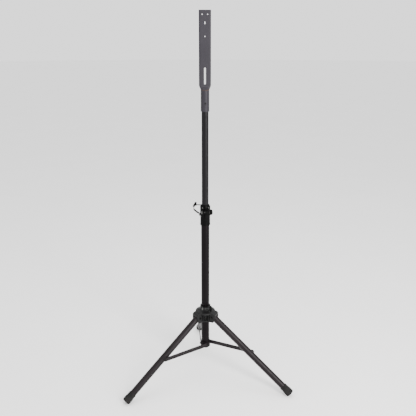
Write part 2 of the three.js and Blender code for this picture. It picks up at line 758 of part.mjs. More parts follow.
function strut() {
  const shape = new THREE.Shape();
  shape.absarc(STRUT_LENGTH, 0, STRUT_R, -Math.PI / 2, Math.PI / 2);
  const cornerX = STRUT_CORNER_R - STRUT_END;
  const cornerZ = STRUT_R - STRUT_CORNER_R;
  shape.absarc(cornerX, cornerZ, STRUT_CORNER_R, Math.PI / 2, Math.PI);
  shape.absarc(cornerX, -cornerZ, STRUT_CORNER_R, Math.PI, 1.5 * Math.PI);
  const bar = plate(shape, STRUT_NEAR, STRUT_FAR);
  const holes = [0, STRUT_LENGTH].map((x) => rod(STRUT_PIN_R + GAP, [x, 0, 0], [x, PAST, 0]));
  return cut(bar, ...holes);
}

// A shank through one end of the strut with a head on the strut's outer side.
function strutPin(x, inner, top, sides) {
  return join(
    rod(STRUT_PIN_R, [x, inner, 0], [x, STRUT_FAR + 1, 0]),
    rod(STRUT_HEAD_R, [x, STRUT_FAR + GAP, 0], [x, STRUT_FAR + top, 0], sides),
  );
}

const COLLAR_LOW = 177;
const COLLAR_HIGH = 212;
const COLLAR_R = 26;
const COLLAR_CHAMFER = 2;
const COLLAR_PAD_HALF = 12;
const COLLAR_PAD_LOW = COLLAR_LOW + 3;
const COLLAR_PAD_HIGH = COLLAR_HIGH - 6;
const COLLAR_SCREW_R = 2.6;
const COLLAR_SCREW_Z = COLLAR_HIGH - 4.4;
const COLLAR_SCREW_TURN = degrees(-14); // from the front, between two flats

// A collar fixed round the column's foot, with a flat for each strut.
function footCollar() {
  const inner = COLUMN_R + GAP;
  const face = STRUT_NEAR - GAP;
  let body = turned([
    [inner, COLLAR_LOW], [COLLAR_R - COLLAR_CHAMFER, COLLAR_LOW],
    [COLLAR_R, COLLAR_LOW + COLLAR_CHAMFER], [COLLAR_R, COLLAR_HIGH - COLLAR_CHAMFER],
    [COLLAR_R - COLLAR_CHAMFER, COLLAR_HIGH], [inner, COLLAR_HIGH],
  ]);
  const half = COLLAR_PAD_HALF;
  const pad = box([-half, COLUMN_R - 6, COLLAR_PAD_LOW], [half, face, COLLAR_PAD_HIGH]);
  const clear = box([-PAST, face, COLLAR_LOW - 1], [PAST, PAST, COLLAR_HIGH + 1]);
  const screw = rod(STRUT_PIN_R + GAP, [0, COLUMN_R - 1, STRUT_ROOT_Z], [0, PAST, STRUT_ROOT_Z]);
  for (let index = 0; index < LEG_COUNT; index += 1) {
    const azimuth = legAzimuth(index);
    body = join(body, turnedAboutZ(pad, azimuth));
    body = cut(body, turnedAboutZ(clear, azimuth), turnedAboutZ(screw, azimuth));
  }
  const bore = rod(inner, [0, 0, COLLAR_LOW - 5], [0, 0, COLLAR_HIGH + 5], ROUND);
  const fixing = rod(
    COLLAR_SCREW_R + GAP,
    radial(COLLAR_SCREW_TURN, COLUMN_R - 1.5, COLLAR_SCREW_Z),
    radial(COLLAR_SCREW_TURN, PAST, COLLAR_SCREW_Z),
  );
  return cut(body, bore, fixing);
}

function collarScrew() {
  const at = (radius) => radial(COLLAR_SCREW_TURN, radius, COLLAR_SCREW_Z);
  const outer = COLLAR_R - SCREW_SUNK;
  const body = rod(COLLAR_SCREW_R, at(COLUMN_R + GAP), at(outer));
  return cut(body, rod(HEX_R - 0.6, at(outer - HEX_DEPTH), at(PAST), 6));
}

const LEG_BOLT_HEAD = 5;
const LEG_NUT_THICK = 5.7;
const LEG_BOLT_PAST_NUT = 1;

function legBolt() {
  const face = LOBE_HALF + GAP;
  return join(
    rod(BOLT_HEAD_R, [0, -face - LEG_BOLT_HEAD, 0], [0, -face, 0], 6),
    rod(LEG_BOLT_R, [0, -LOBE_HALF - 2, 0], [0, face + LEG_NUT_THICK + LEG_BOLT_PAST_NUT, 0]),
  );
}

function legNut() {
  const face = LOBE_HALF + GAP;
  const block = rod(BOLT_HEAD_R, [0, face, 0], [0, face + LEG_NUT_THICK, 0], 6);
  return cut(block, rod(LEG_BOLT_R + GAP, [0, 0, 0], [0, PAST, 0]));
}

// ---------------------------------------------------------------- assembly

function group(...children) {
  const whole = new THREE.Group();
  whole.add(...children);
  return whole;
}

function placed(child, x, y, z) {
  child.position.set(x, y, z);
  return child;
}

// One leg with its foot, strut and fasteners, built along +X and turned to its azimuth.
function legSide(index) {
  const number = index + 1;
  const legFrame = new THREE.Group();
  legFrame.position.set(LEG_PIVOT_R, 0, LEG_PIVOT_Z);
  legFrame.rotation.y = LEG_DROP;
  legFrame.updateMatrix();
  const floor = new THREE.BoxGeometry(2 * PAST, 2 * PAST, PAST);
  floor.translate(FOOT_REACH, 0, -PAST / 2);
  floor.applyMatrix4(legFrame.matrix.clone().invert());
  legFrame.add(
    node(`leg_${number}`, leg(), blackCoat()),
    node(`strut_boss_${number}`, strutBoss(), blackCoat()),
    node(`foot_${number}`, foot(solid(floor)), blackRubber()),
  );
  // the rivet's shank ends at the boss's face, the screw's at the column's
  const rivet = strutPin(STRUT_LENGTH, STRUT_NEAR, STRUT_RIVET_TOP, 20);
  const screw = strutPin(0, COLUMN_R + GAP, STRUT_SCREW_TOP, 6);
  const strutFrame = group(
    node(`strut_${number}`, strut(), blackCoat()),
    node(`strut_rivet_${number}`, rivet, darkSteel()),
    node(`strut_screw_${number}`, screw, darkSteel()),
  );
  strutFrame.position.z = STRUT_ROOT_Z;
  strutFrame.rotation.y = Math.atan2(STRUT_ROOT_Z - STRUT_END_Z, STRUT_END_R);
  const pivot = placed(group(
    node(`leg_bolt_${number}`, legBolt(), darkSteel()),
    node(`leg_nut_${number}`, legNut(), darkSteel()),
  ), LEG_PIVOT_R, 0, LEG_PIVOT_Z);
  const side = group(legFrame, strutFrame, pivot);
  side.rotation.z = legAzimuth(index);
  return side;
}

// A clamp's bolt, its washer and its hand nut, across two ears.
function boltSet(prefix, earLeft, earRight, z, hand) {
  const bolt = clampBolt(earRight - earLeft + BOLT_SPARE);
  const washer = turnedAlongX([
    [BOLT_R + GAP, 0], [WASHER_R, 0], [WASHER_R, WASHER_THICK], [BOLT_R + GAP, WASHER_THICK],
  ], 20);
  const nutX = earRight + WASHER_THICK + 2 * GAP;
  return group(
    placed(node(`${prefix}_bolt`, bolt, steel()), earLeft - BOLT_HEAD_THICK - GAP, -BOLT_FORWARD, z),
    placed(node(`${prefix}_washer`, washer, steel()), earRight + GAP, -BOLT_FORWARD, z),
    placed(node(`${prefix}_knob`, hand, blackPlastic()), nutX, -BOLT_FORWARD, z),
  );
}

function clampRivet(name, turn) {
  const rivet = node(name, headRivet(), steel());
  rivet.position.set(...radial(turn, CLAMP_CONE_R + 1.2, CLAMP_RIVET_Z));
  rivet.rotation.z = turn - Math.PI / 2;
  return rivet;
}

function pinSide() {
  const side = placed(group(
    node('locking_pin', lockingPin(), steel()),
    node('pin_handle', pinHandle(), blackPlastic()),
    node('pin_ring', pinRing(), steel()),
    node('lanyard', lanyard(), blackRubber()),
    placed(node('lanyard_screw', lanyardScrew(), steel()), ANCHOR_INNER, 0, ANCHOR_Z - PIN_Z),
  ), 0, 0, PIN_Z);
  side.rotation.z = PIN_AZIMUTH;
  return side;
}

const clampNut = lobedKnob(KNOB_R, KNOB_THICK, KNOB_LOBES);
const stand = group(
  node('mounting_head', mountingHead(), greyCoat()),
  node('set_screw', setScrew(), darkSteel()),
  node('upper_pole', pole(), blackCoat()),
  node('pole_guide', poleGuide(), greyPlastic()),
  node('column', column(), blackCoat()),
  node('column_plug', columnPlug(), blackPlastic()),
  node('clamp_housing', clampHousing(), blackPlastic()),
  node('clamp_liner', clampLiner(), greyPlastic()),
  boltSet('clamp', CLAMP_EAR_LEFT, CLAMP_EAR_RIGHT, CLAMP_BOLT_Z, clampNut),
  clampRivet('clamp_rivet_1', -RIVET_TURN),
  clampRivet('clamp_rivet_2', RIVET_TURN),
  pinSide(),
  node('hub', hub(), blackPlastic()),
  node('hub_liner', hubLiner(), greyPlastic()),
  boltSet('hub', -HUB_EAR_HALF, HUB_EAR_HALF, HUB_BOLT_Z, wingNut(WING_REACH)),
  node('foot_collar', footCollar(), blackCoat()),
  node('collar_screw', collarScrew(), darkSteel()),
  ...Array.from({ length: LEG_COUNT }, (_, index) => legSide(index)),
);

const footprint = new THREE.Box3().setFromObject(stand, true);
const middle = footprint.getCenter(new THREE.Vector3());
stand.position.set(-middle.x, -middle.y, 0);

export default group(stand);
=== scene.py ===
"""A folding tripod speaker stand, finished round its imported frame.

Shapes are drawn in millimetres about the pole's axis, +Z up, and are then put in the
frame's metres by settle(). Every finished piece stands for one CAD node.
"""

import json
import math

import bmesh
import bpy
from mathutils import Matrix, Vector


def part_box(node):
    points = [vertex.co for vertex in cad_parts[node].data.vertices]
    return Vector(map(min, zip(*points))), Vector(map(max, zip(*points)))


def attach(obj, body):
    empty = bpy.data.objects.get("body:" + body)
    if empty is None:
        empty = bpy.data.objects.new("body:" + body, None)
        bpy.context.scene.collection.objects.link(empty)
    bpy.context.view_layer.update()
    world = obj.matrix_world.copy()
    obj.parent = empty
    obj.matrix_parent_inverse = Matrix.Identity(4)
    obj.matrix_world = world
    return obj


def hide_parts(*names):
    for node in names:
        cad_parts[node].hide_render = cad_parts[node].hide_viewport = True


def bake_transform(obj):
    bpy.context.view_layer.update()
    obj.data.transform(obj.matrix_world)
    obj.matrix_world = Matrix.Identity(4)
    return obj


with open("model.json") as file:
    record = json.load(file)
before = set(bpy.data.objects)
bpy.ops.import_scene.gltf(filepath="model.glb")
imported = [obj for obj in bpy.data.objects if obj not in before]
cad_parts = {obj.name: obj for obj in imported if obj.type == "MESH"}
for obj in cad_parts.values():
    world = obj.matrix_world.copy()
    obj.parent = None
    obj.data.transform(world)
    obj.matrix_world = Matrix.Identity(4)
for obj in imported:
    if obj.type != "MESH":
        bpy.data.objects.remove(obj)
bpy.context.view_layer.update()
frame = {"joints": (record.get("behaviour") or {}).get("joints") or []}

# ---------------- places, from the frame

MM = 0.001
column_low, column_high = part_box("column")
AXIS = Vector(((column_low.x + column_high.x) / 2, (column_low.y + column_high.y) / 2, 0))
STAND = Matrix.Translation(AXIS) @ Matrix.Scale(MM, 4)
JOINTS = {joint["name"]: joint for joint in frame["joints"]}


def span(node):
    """A CAD node's lowest and highest corners, in millimetres from the pole's axis."""
    low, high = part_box(node)
    return (low - AXIS) / MM, (high - AXIS) / MM


def joint_at(name):
    return (Vector(JOINTS[name]["pos_m"]) - AXIS) / MM


POLE_LOW, POLE_HIGH = span("upper_pole")
COLUMN_LOW, COLUMN_HIGH = span("column")
HEAD_LOW, HEAD_HIGH = span("mounting_head")
CLAMP_LOW, CLAMP_HIGH = span("clamp_housing")
HUB_LOW, HUB_HIGH = span("hub")
COLLAR_LOW, COLLAR_HIGH = span("foot_collar")

POLE_R = POLE_HIGH.x
COLUMN_R = COLUMN_HIGH.x
WALL = 1.5
GAP = 0.3  # clearance between pieces that touch

SOCKET_R = 21
SOCKET_WALL = 2.8
HEAD_WIDTH = HEAD_HIGH.x - HEAD_LOW.x
HEAD_DEPTH = 13
PRESS_START = HEAD_LOW.z + 103
PRESS_END = PRESS_START + 24
HEAD_PAIR_X = 12.9
HEAD_PAIR_DROP = 20  # below the top of the head
HEAD_HOLE_DROP = 119
HEAD_HOLE_R = 3.1
HEAD_SLOT = (6, 64, 52)  # width, and the drops to its bottom and top
HEAD_LONG_SLOT = (9.5, 341, 261)
HOLE_EDGE = 0.3  # radius of the edge that a drill leaves
SET_SCREW_R = 4
SET_SCREW_RISE = 40  # above the socket's lower end
SCREW_SUNK = 0.6
HEX_DEPTH = 1.6

LEG_R = 17.5
LEG_COUNT = 3
LEG_PIVOT_R = Vector(joint_at("leg_fold_1").xy).length
LEG_PIVOT_Z = joint_at("leg_fold_1").z
FOOT_REACH = 498.7
FOOT_Z = 13.6
LEG_LENGTH = math.hypot(FOOT_REACH - LEG_PIVOT_R, LEG_PIVOT_Z - FOOT_Z)
LEG_DROP = math.atan2(LEG_PIVOT_Z - FOOT_Z, FOOT_REACH - LEG_PIVOT_R)
LEG_HEAD = 8  # tube past its own pivot
LEG_BOLT_R = 4
LEG_BOLT_SPARE = 7  # shank past the far cheek
LEG_NUT_THICK = 5.7
FOOT_LENGTH = 56
FOOT_FLOOR = 7  # rubber under the tube's end
FOOT_R = 21.5
FOOT_SLEEVE_R = LEG_R + 2.6
BOSS_R = 9

STRUT_ON_LEG = 0.4903
STRUT_ROOT_Z = joint_at("strut_fold_1").z
STRUT_SIDE = 24.1
STRUT_THICK = 3.5
STRUT_R = 11
STRUT_END = 13
STRUT_CORNER_R = 4
STRUT_PIN_R = 3.9
STRUT_HEAD_R = 7
STRUT_NEAR = STRUT_SIDE - STRUT_THICK / 2
STRUT_FAR = STRUT_SIDE + STRUT_THICK / 2
STRUT_END_R = LEG_PIVOT_R + (FOOT_REACH - LEG_PIVOT_R) * STRUT_ON_LEG
STRUT_END_Z = LEG_PIVOT_Z - (LEG_PIVOT_Z - FOOT_Z) * STRUT_ON_LEG
STRUT_LENGTH = math.hypot(STRUT_END_R, STRUT_END_Z - STRUT_ROOT_Z)
STRUT_LIFT = math.atan2(STRUT_END_Z - STRUT_ROOT_Z, STRUT_END_R)

BOLT_FORWARD = 35  # clamp bolts in front of the pole's axis
BOLT_R = 3.5
BOLT_HEAD_R = 7
BOLT_HEAD_THICK = 5
BOLT_SPARE = 8  # shank past the ear
WASHER_R = 8
WASHER_THICK = 1.6
SLIT_HALF = 1.5
PAST = 60  # how far a cutter runs to be past every wall
CLAMP_BOLT_Z = joint_at("clamp_knob_turn").z
HUB_BOLT_Z = joint_at("hub_knob_turn").z
PIN_AZIMUTH = math.atan2(JOINTS["pin_pull"]["axis"][1], JOINTS["pin_pull"]["axis"][0])
PIN_Z = (span("locking_pin")[0].z + span("locking_pin")[1].z) / 2
PIN_R = 3
PIN_HOLE_PITCH = 60
PIN_HOLES = range(-5, 8)  # the drilled holes of the pole, counted from the pin's own
PIN_HOLE_SLACK = 0.5

# ---------------- outlines


def filleted(outline, radius, steps=4, closed=True):
    """The outline with its corners rounded. A point's third number is its own radius."""
    points = []
    for index, corner in enumerate(outline):
        here = Vector(corner[:2])
        before = Vector(outline[index - 1][:2]) - here
        after = Vector(outline[(index + 1) % len(outline)][:2]) - here
        wanted = corner[2] if len(corner) > 2 else radius
        end = not closed and index in (0, len(outline) - 1)
        half = 0 if end else before.angle(after) / 2
        if end or wanted == 0 or half > math.radians(88):
            points.append(tuple(here))
            continue
        reach = min(wanted / math.tan(half), 0.45 * before.length, 0.45 * after.length)
        round_r = reach * math.tan(half)
        middle = (before.normalized() + after.normalized()).normalized()
        centre = here + middle * (round_r / math.sin(half))
        first = here + before.normalized() * reach - centre
        last = here + after.normalized() * reach - centre
        for step in range(steps + 1):
            point = first.lerp(last, step / steps).normalized() * round_r
            points.append(tuple(centre + point))
    return points


def arc(x, z, radius, start, end, steps=12):
    """Points round part of a circle, from one angle to another."""
    turns = [start + (end - start) * step / steps for step in range(steps + 1)]
    return [(x + radius * math.cos(turn), z + radius * math.sin(turn)) for turn in turns]


def stadium(low, high, half_width, steps):
    """A slot's outline from low to high along the second axis, round at both ends."""
    return [*arc(0, high - half_width, half_width, 0, math.pi, steps),
            *arc(0, low + half_width, half_width, math.pi, 2 * math.pi, steps)]


def bar_outline(share, width, depth):
    """A point on a round-ended bar's outline, share of the way round from +X."""
    end_r = depth / 2
    flat = width - depth
    arc = math.pi * end_r
    along = (share % 0.5) * 2 * (flat + arc)
    if along < arc / 2:
        x = flat / 2 + end_r * math.cos(along / end_r)
        y = end_r * math.sin(along / end_r)
    elif along > arc / 2 + flat:
        x = -flat / 2 + end_r * math.cos((along - flat) / end_r)
        y = end_r * math.sin((along - flat) / end_r)
    else:
        x = flat / 2 - (along - arc / 2)
        y = end_r
    side = 1 if share % 1 < 0.5 else -1
    return x * side, y * side


def smooth(value):
    share = min(max(value, 0), 1)
    return share * share * (3 - 2 * share)


# ---------------- meshes


def mesh_object(name, bm):
    bmesh.ops.recalc_face_normals(bm, faces=bm.faces)
    mesh = bpy.data.meshes.new(name)
    bm.to_mesh(mesh)
    bm.free()
    piece = bpy.data.objects.new(name, mesh)
    bpy.context.scene.collection.objects.link(piece)
    return piece


def skin(bm, first, second):
    """Faces between two closed rings, either of which may be a single point."""
    count = max(len(first), len(second))
    for index in range(count):
        after = (index + 1) % count
        corners = [first[index % len(first)], first[after % len(first)],
                   second[after % len(second)], second[index % len(second)]]
        bm.faces.new(list(dict.fromkeys(corners)))


def lofted(name, rings, joined=False):
    """Skins a run of rings of points, capped at both ends or joined into a loop."""
    bm = bmesh.new()
    rows = [[bm.verts.new(point) for point in ring] for ring in rings]
    for first, second in zip(rows, rows[1:]):
        skin(bm, first, second)
    if joined:
        skin(bm, rows[-1], rows[0])
    else:
        for row in (rows[0], rows[-1]):
            if len(row) > 1:
                bm.faces.new(row)
    return mesh_object(name, bm)


def turned(name, outline, segments=96, along="Z"):
    """An outline of (radius, height) turned about an axis."""
    rings = []
    for radius, height in outline:
        turns = [2 * math.pi * step / segments for step in range(segments)]
        ring = [(radius * math.cos(t), radius * math.sin(t), height) for t in turns]
        rings.append(ring if radius > 1e-6 else [(0, 0, height)])
    piece = lofted(name, rings, joined=outline[0][0] > 1e-6)
    if along == "X":
        move(piece, Matrix.Rotation(math.pi / 2, 4, "Y"))
    return piece


def tube(name, outer, inner, low, high, segments=96, along="Z"):
    rim = [(inner, low), (outer, low), (outer, high), (inner, high)]
    return turned(name, filleted(rim, 0.5, 3), segments, along)


def prism(name, outline, near, far, edge=0.0):
    """A flat shape in X and Z with a thickness along Y and an optional chamfer."""
    bm = bmesh.new()
    rows = [[bm.verts.new((x, y, z)) for x, z in outline] for y in (near, far)]
    skin(bm, *rows)
    caps = [bm.faces.new(row) for row in rows]
    if edge:
        rims = [side for cap in caps for side in cap.edges]
        bmesh.ops.bevel(bm, geom=rims, offset=edge, segments=3, profile=0.5, affect="EDGES")
    return mesh_object(name, bm)


def move(piece, matrix):
    piece.data.transform(matrix)
    return piece


def rod(radius, start, end, segments=32, bevel=0.0):
    """A cylinder between two points, its ends rounded by bevel."""
    run = Vector(end) - Vector(start)
    outline = filleted([(0, 0, 0), (radius, 0), (radius, run.length), (0, run.length, 0)],
                       bevel, 3, closed=False)
    turn = Vector((0, 0, 1)).rotation_difference(run).to_matrix().to_4x4()
    return move(turned("rod", outline, segments), Matrix.Translation(start) @ turn)


def block(low, high):
    x0, y0, z0 = low
    x1, y1, z1 = high
    return prism("block", [(x0, z0), (x1, z0), (x1, z1), (x0, z1)], y0, y1)


def bake(piece):
    """Applies a piece's modifiers."""
    graph = bpy.context.evaluated_depsgraph_get()
    graph.update()
    mesh = bpy.data.meshes.new_from_object(piece.evaluated_get(graph))
    piece.modifiers.clear()
    piece.data = mesh
    return piece


def combine(operation, piece, *others):
    for other in others:
        modifier = piece.modifiers.new("combine", "BOOLEAN")
        modifier.operation = operation
        modifier.solver = "MANIFOLD"
        modifier.object = other
    bake(piece)
    for other in others:
        bpy.data.objects.remove(other)
    return piece


def join(piece, *others):
    return combine("UNION", piece, *others)


def cut(piece, *others):
    return combine("DIFFERENCE", piece, *others)


def moulded(piece, voxel, rounds=4, keep=0.4):
    """Rounds every edge of a moulded or cast piece: an even mesh, relaxed and thinned."""
    remesh = piece.modifiers.new("even", "REMESH")
    remesh.mode = "VOXEL"
    remesh.voxel_size = voxel
    relax = piece.modifiers.new("relax", "SMOOTH")
    relax.factor = 0.5
    relax.iterations = rounds
    thin = piece.modifiers.new("thin", "DECIMATE")
    thin.ratio = keep
    return bake(piece)


def crisp(piece, width, angle=35):
    """Small bevels on a machined piece's sharp edges."""
    bevel = piece.modifiers.new("bevel", "BEVEL")
    bevel.width = width
    bevel.segments = 2
    bevel.limit_method = "ANGLE"
    bevel.angle_limit = math.radians(angle)
    return bake(piece)


def settle(piece, node, body, material, place=None, angle=38, flat=False):
    """Puts a piece in the frame in place of a CAD node, riding on the node's body."""
    piece.name = piece.data.name = f"{node}_finished"
    piece.data.transform(STAND @ (place or Matrix.Identity(4)))
    piece.data.polygons.foreach_set("use_smooth", [True] * len(piece.data.polygons))
    if angle:
        piece.data.set_sharp_from_angle(angle=math.radians(angle))
    if flat:
        weigh = piece.modifiers.new("weigh", "WEIGHTED_NORMAL")
        weigh.keep_sharp = True
        bake(piece)
    piece.data.materials.clear()
    piece.data.materials.append(material)
    if isinstance(body, str):
        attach(piece, body)
    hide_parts(node)
    return piece


# ---------------- materials


class Finish:
    """A node material under construction, on coordinates that move with the piece."""

    def __init__(self, name, roughness, metallic=0.0, specular=0.5):
        self.material = bpy.data.materials.new(name)
        self.material.use_nodes = True
        self.tree = self.material.node_tree
        self.shader = self.tree.nodes["Principled BSDF"]
        self.shader.inputs["Metallic"].default_value = metallic
        self.shader.inputs["Roughness"].default_value = roughness
        self.shader.inputs["Specular IOR Level"].default_value = specular
        self.places = self.tree.nodes.new("ShaderNodeTexCoord").outputs["Object"]

    def node(self, kind, settings=None, **inputs):
        made = self.tree.nodes.new(f"ShaderNode{kind}")
        for name, value in (settings or {}).items():
            setattr(made, name, value)
        for name, value in inputs.items():
            self.feed(made.inputs[name.replace("_", " ")], value)
        return made

    def feed(self, socket, value):
        if isinstance(value, bpy.types.NodeSocket):
            self.tree.links.new(value, socket)
        else:
            socket.default_value = value

    def stretched(self, scale):
        mapping = self.node("Mapping", Scale=scale)
        self.feed(mapping.inputs["Vector"], self.places)
        return mapping.outputs[0]

    def noise(self, scale, detail=3.0, roughness=0.55, places=None):
        made = self.node("TexNoise", Scale=scale, Detail=detail, Roughness=roughness)
        self.feed(made.inputs["Vector"], places or self.places)
        return made.outputs["Fac"]

    def ramp(self, value, low, high, start=0.0, end=1.0):
        """value's stretch from low to high, made into start to end and held there."""
        made = self.node("MapRange", {"clamp": True})
        for index, number in enumerate((low, high, start, end), start=1):
            made.inputs[index].default_value = number
        self.feed(made.inputs[0], value)
        return made.outputs[0]

    def math(self, operation, first, second=0.0):
        made = self.node("Math", {"operation": operation})
        self.feed(made.inputs[0], first)
        self.feed(made.inputs[1], second)
        return made.outputs[0]

    def mix(self, share, first, second):
        made = self.node("Mix", {"data_type": "RGBA"})
        self.feed(made.inputs[0], share)
        self.feed(made.inputs[6], first)
        self.feed(made.inputs[7], second)
        return made.outputs[2]

    def bump(self, height, strength, distance, below=None):
        made = self.node("Bump", Strength=strength, Distance=distance, Height=height)
        if below:
            self.feed(made.inputs["Normal"], below)
        return made.outputs[0]

    def edges(self, low=0.505, high=0.56):
        """How much of an outer edge a point is on, broken up by noise."""
        point = self.node("NewGeometry").outputs["Pointiness"]
        edge = self.ramp(point, low, high)
        return self.math("MULTIPLY", edge, self.ramp(self.noise(160), 0.42, 0.62))

    def end(self, color=None, roughness=None, normal=None):
        for name, value in (("Base Color", color), ("Roughness", roughness), ("Normal", normal)):
            if value is not None:
                self.feed(self.shader.inputs[name], value)
        return self.material


def grey(value, red=1.0, blue=1.0):
    return (value * red, value, value * blue, 1)


def powder_coat(name, dark, light, dust, roughness, specular):
    """Satin powder coat: orange peel, a slightly cloudy tone and a little dust."""
    finish = Finish(name, roughness, specular=specular)
    cloud = finish.ramp(finish.noise(9, 4), 0.3, 0.74)
    tone = finish.mix(cloud, dark, light)
    speck = finish.ramp(finish.noise(420, 2), 0.68, 0.8, 0, 0.4)
    dusty = finish.math("MULTIPLY", speck, finish.ramp(finish.noise(16), 0.42, 0.62))
    tone = finish.mix(dusty, tone, dust)
    rough = finish.ramp(finish.noise(60, 4), 0.3, 0.7, roughness - 0.07, roughness + 0.08)
    peel = finish.bump(finish.noise(620, 2, 0.4), 0.22, 0.0005)
    grain = finish.bump(finish.noise(2400, 1), 0.12, 0.0002, peel)
    return finish.end(tone, rough, grain)


def sliding_coat(name, dark, light, dust, roughness, specular):
    """Powder coat with the fine rubbed lines of a tube that slides in a clamp."""
    finish = Finish(name, roughness, specular=specular)
    cloud = finish.ramp(finish.noise(7, 4), 0.35, 0.68)
    tone = finish.mix(cloud, dark, light)
    lines = finish.noise(1, 3, 0.6, finish.stretched((520, 520, 5)))
    rubbed = finish.ramp(lines, 0.64, 0.82, 0, 0.4)
    tone = finish.mix(rubbed, tone, dust)
    rough = finish.ramp(lines, 0.3, 0.75, roughness + 0.06, roughness - 0.1)
    peel = finish.bump(finish.noise(620, 2, 0.4), 0.2, 0.0005)
    scored = finish.bump(lines, 0.12, 0.0002, peel)
    return finish.end(tone, rough, scored)


def head_coat(name, tone, specular):
    """The head's charcoal coat, browned where the tube was pressed."""
    finish = Finish(name, 0.42, specular=specular)
    cloud = finish.ramp(finish.noise(12, 4, 0.5), 0.28, 0.74)
    colour = finish.mix(cloud, grey(tone, 1.12, 1.3), grey(tone * 1.22, 1.12, 1.28))
    speck = finish.ramp(finish.noise(300, 3), 0.64, 0.8, 0, 0.4)
    colour = finish.mix(speck, colour, grey(tone * 2, 1.04, 1.1))
    burn = finish.node("Attribute", {"attribute_name": "pressed"}).outputs["Fac"]
    patch = finish.math("MULTIPLY", burn, finish.ramp(finish.noise(55, 4), 0.38, 0.62, 0.25, 1))
    colour = finish.mix(patch, colour, (0.05, 0.026, 0.014, 1))
    rough = finish.ramp(finish.noise(70, 4), 0.3, 0.7, 0.36, 0.52)
    peel = finish.bump(finish.noise(560, 2, 0.4), 0.25, 0.0005)
    return finish.end(colour, rough, peel)


def plastic(name, tone, roughness, specular):
    """Glass-filled nylon: a fine moulded grain, faint flow marks and polished edges."""
    finish = Finish(name, roughness, specular=specular)
    flow = finish.noise(1, 3, 0.6, finish.stretched((22, 22, 60)))
    colour = finish.mix(finish.ramp(flow, 0.35, 0.65), grey(tone), grey(tone * 1.5, 1, 1.04))
    worn = finish.math("MULTIPLY", finish.edges(), 0.4)
    colour = finish.mix(worn, colour, grey(tone * 7))
    dusty = finish.ramp(finish.noise(340, 2), 0.66, 0.8, 0, 0.35)
    colour = finish.mix(dusty, colour, grey(tone * 6, 1.03, 0.95))
    rough = finish.ramp(finish.noise(90, 3), 0.3, 0.7, roughness - 0.08, roughness + 0.08)
    grain = finish.bump(finish.noise(1500, 2, 0.5), 0.35, 0.0003)
    return finish.end(colour, rough, grain)


def rubber(name, tone, specular):
    """Matt rubber, clouded and scuffed grey."""
    finish = Finish(name, 0.78, specular=specular)
    cloud = finish.ramp(finish.noise(24, 5, 0.6), 0.35, 0.68)
    colour = finish.mix(cloud, grey(tone), grey(tone * 1.7, 1.05, 0.97))
    scuff = finish.ramp(finish.noise(180, 4, 0.65), 0.58, 0.76, 0, 0.55)
    colour = finish.mix(scuff, colour, grey(tone * 4, 1.06, 0.92))
    rough = finish.ramp(finish.noise(120, 3), 0.3, 0.7, 0.68, 0.88)
    grain = finish.bump(finish.noise(900, 3, 0.6), 0.4, 0.0004)
    return finish.end(colour, rough, grain)


def steel(name, tone, roughness, rust):
    """Plated steel with fine turning marks and a little rust."""
    finish = Finish(name, roughness, metallic=1.0)
    marks = finish.noise(1, 2, 0.5, finish.stretched((300, 300, 1500)))
    colour = finish.mix(finish.ramp(marks, 0.3, 0.7), grey(tone * 0.82), grey(tone, 1, 0.97))
    spots = finish.ramp(finish.noise(260, 4, 0.65), 0.62, 0.75, 0, rust)
    colour = finish.mix(spots, colour, (0.07, 0.03, 0.013, 1))
    worn = finish.ramp(marks, 0.3, 0.7, roughness - 0.07, roughness + 0.12)
    rough = finish.math("ADD", worn, finish.math("MULTIPLY", spots, 0.35))
    return finish.end(colour, rough, finish.bump(marks, 0.12, 0.0001))


COAT = powder_coat("black_powder_coat", grey(0.0018, 1.4, 1.26), grey(0.003, 1.4, 1.24),
                   grey(0.016, 1.1, 1.0), 0.36, 0.06)
LEG_COAT = powder_coat("leg_powder_coat", grey(0.004, 1.42, 1.2), grey(0.0065, 1.42, 1.18),
                       grey(0.024, 1.16, 0.98), 0.38, 0.13)
POLE_COAT = sliding_coat("pole_coat", grey(0.002, 1.16, 1.36), grey(0.0032, 1.16, 1.34),
                         grey(0.012, 1.08, 1.14), 0.34, 0.14)
HEAD_COAT = head_coat("head_coat", 0.0145, 0.15)
NYLON = plastic("black_nylon", 0.0013, 0.44, 0.045)
HUB_NYLON = plastic("hub_nylon", 0.005, 0.44, 0.12)
LINER = plastic("grey_acetal", 0.02, 0.42, 0.3)
RUBBER = rubber("black_rubber", 0.007, 0.12)
ZINC = steel("zinc_plate", 0.09, 0.36, 0.3)
DULL_ZINC = steel("dull_zinc", 0.05, 0.45, 0.5)
BLACK_STEEL = steel("black_oxide", 0.02, 0.42, 0.5)

# ---------------- small hardware


def hexagon(name, radius, low, high, bevel=0.7):
    """A hexagon along +Z whose corners are turned off at both ends."""
    outline = [(radius * math.cos(math.pi * step / 3), radius * math.sin(math.pi * step / 3))
               for step in range(6)]
    body = lofted(name, [[(x, y, z) for x, y in outline] for z in (low, high)])
    flat_r = radius * 0.93
    turning = turned("turning", [
        (0, low - 0.01), (flat_r, low - 0.01), (radius + 0.4, low + bevel),
        (radius + 0.4, high - bevel), (flat_r, high + 0.01), (0, high + 0.01)], 48)
    return combine("INTERSECT", body, turning)


def threaded(radius, low, high, pitch=1.25):
    """A screw's outline over a stretch, as fine ridges."""
    turns = max(1, int((high - low) / pitch))
    step = (high - low) / turns
    points = []
    for index in range(turns):
        points += [(radius - 0.5, low + index * step), (radius, low + (index + 0.5) * step)]
    return points + [(radius - 0.5, high)]


def facing(axis, turn=0.0):
    """Turns +Z towards an axis of the piece's own frame."""
    towards = Vector(axis)
    aim = Vector((0, 0, 1)).rotation_difference(towards).to_matrix().to_4x4()
    return aim @ Matrix.Rotation(turn, 4, "Z")


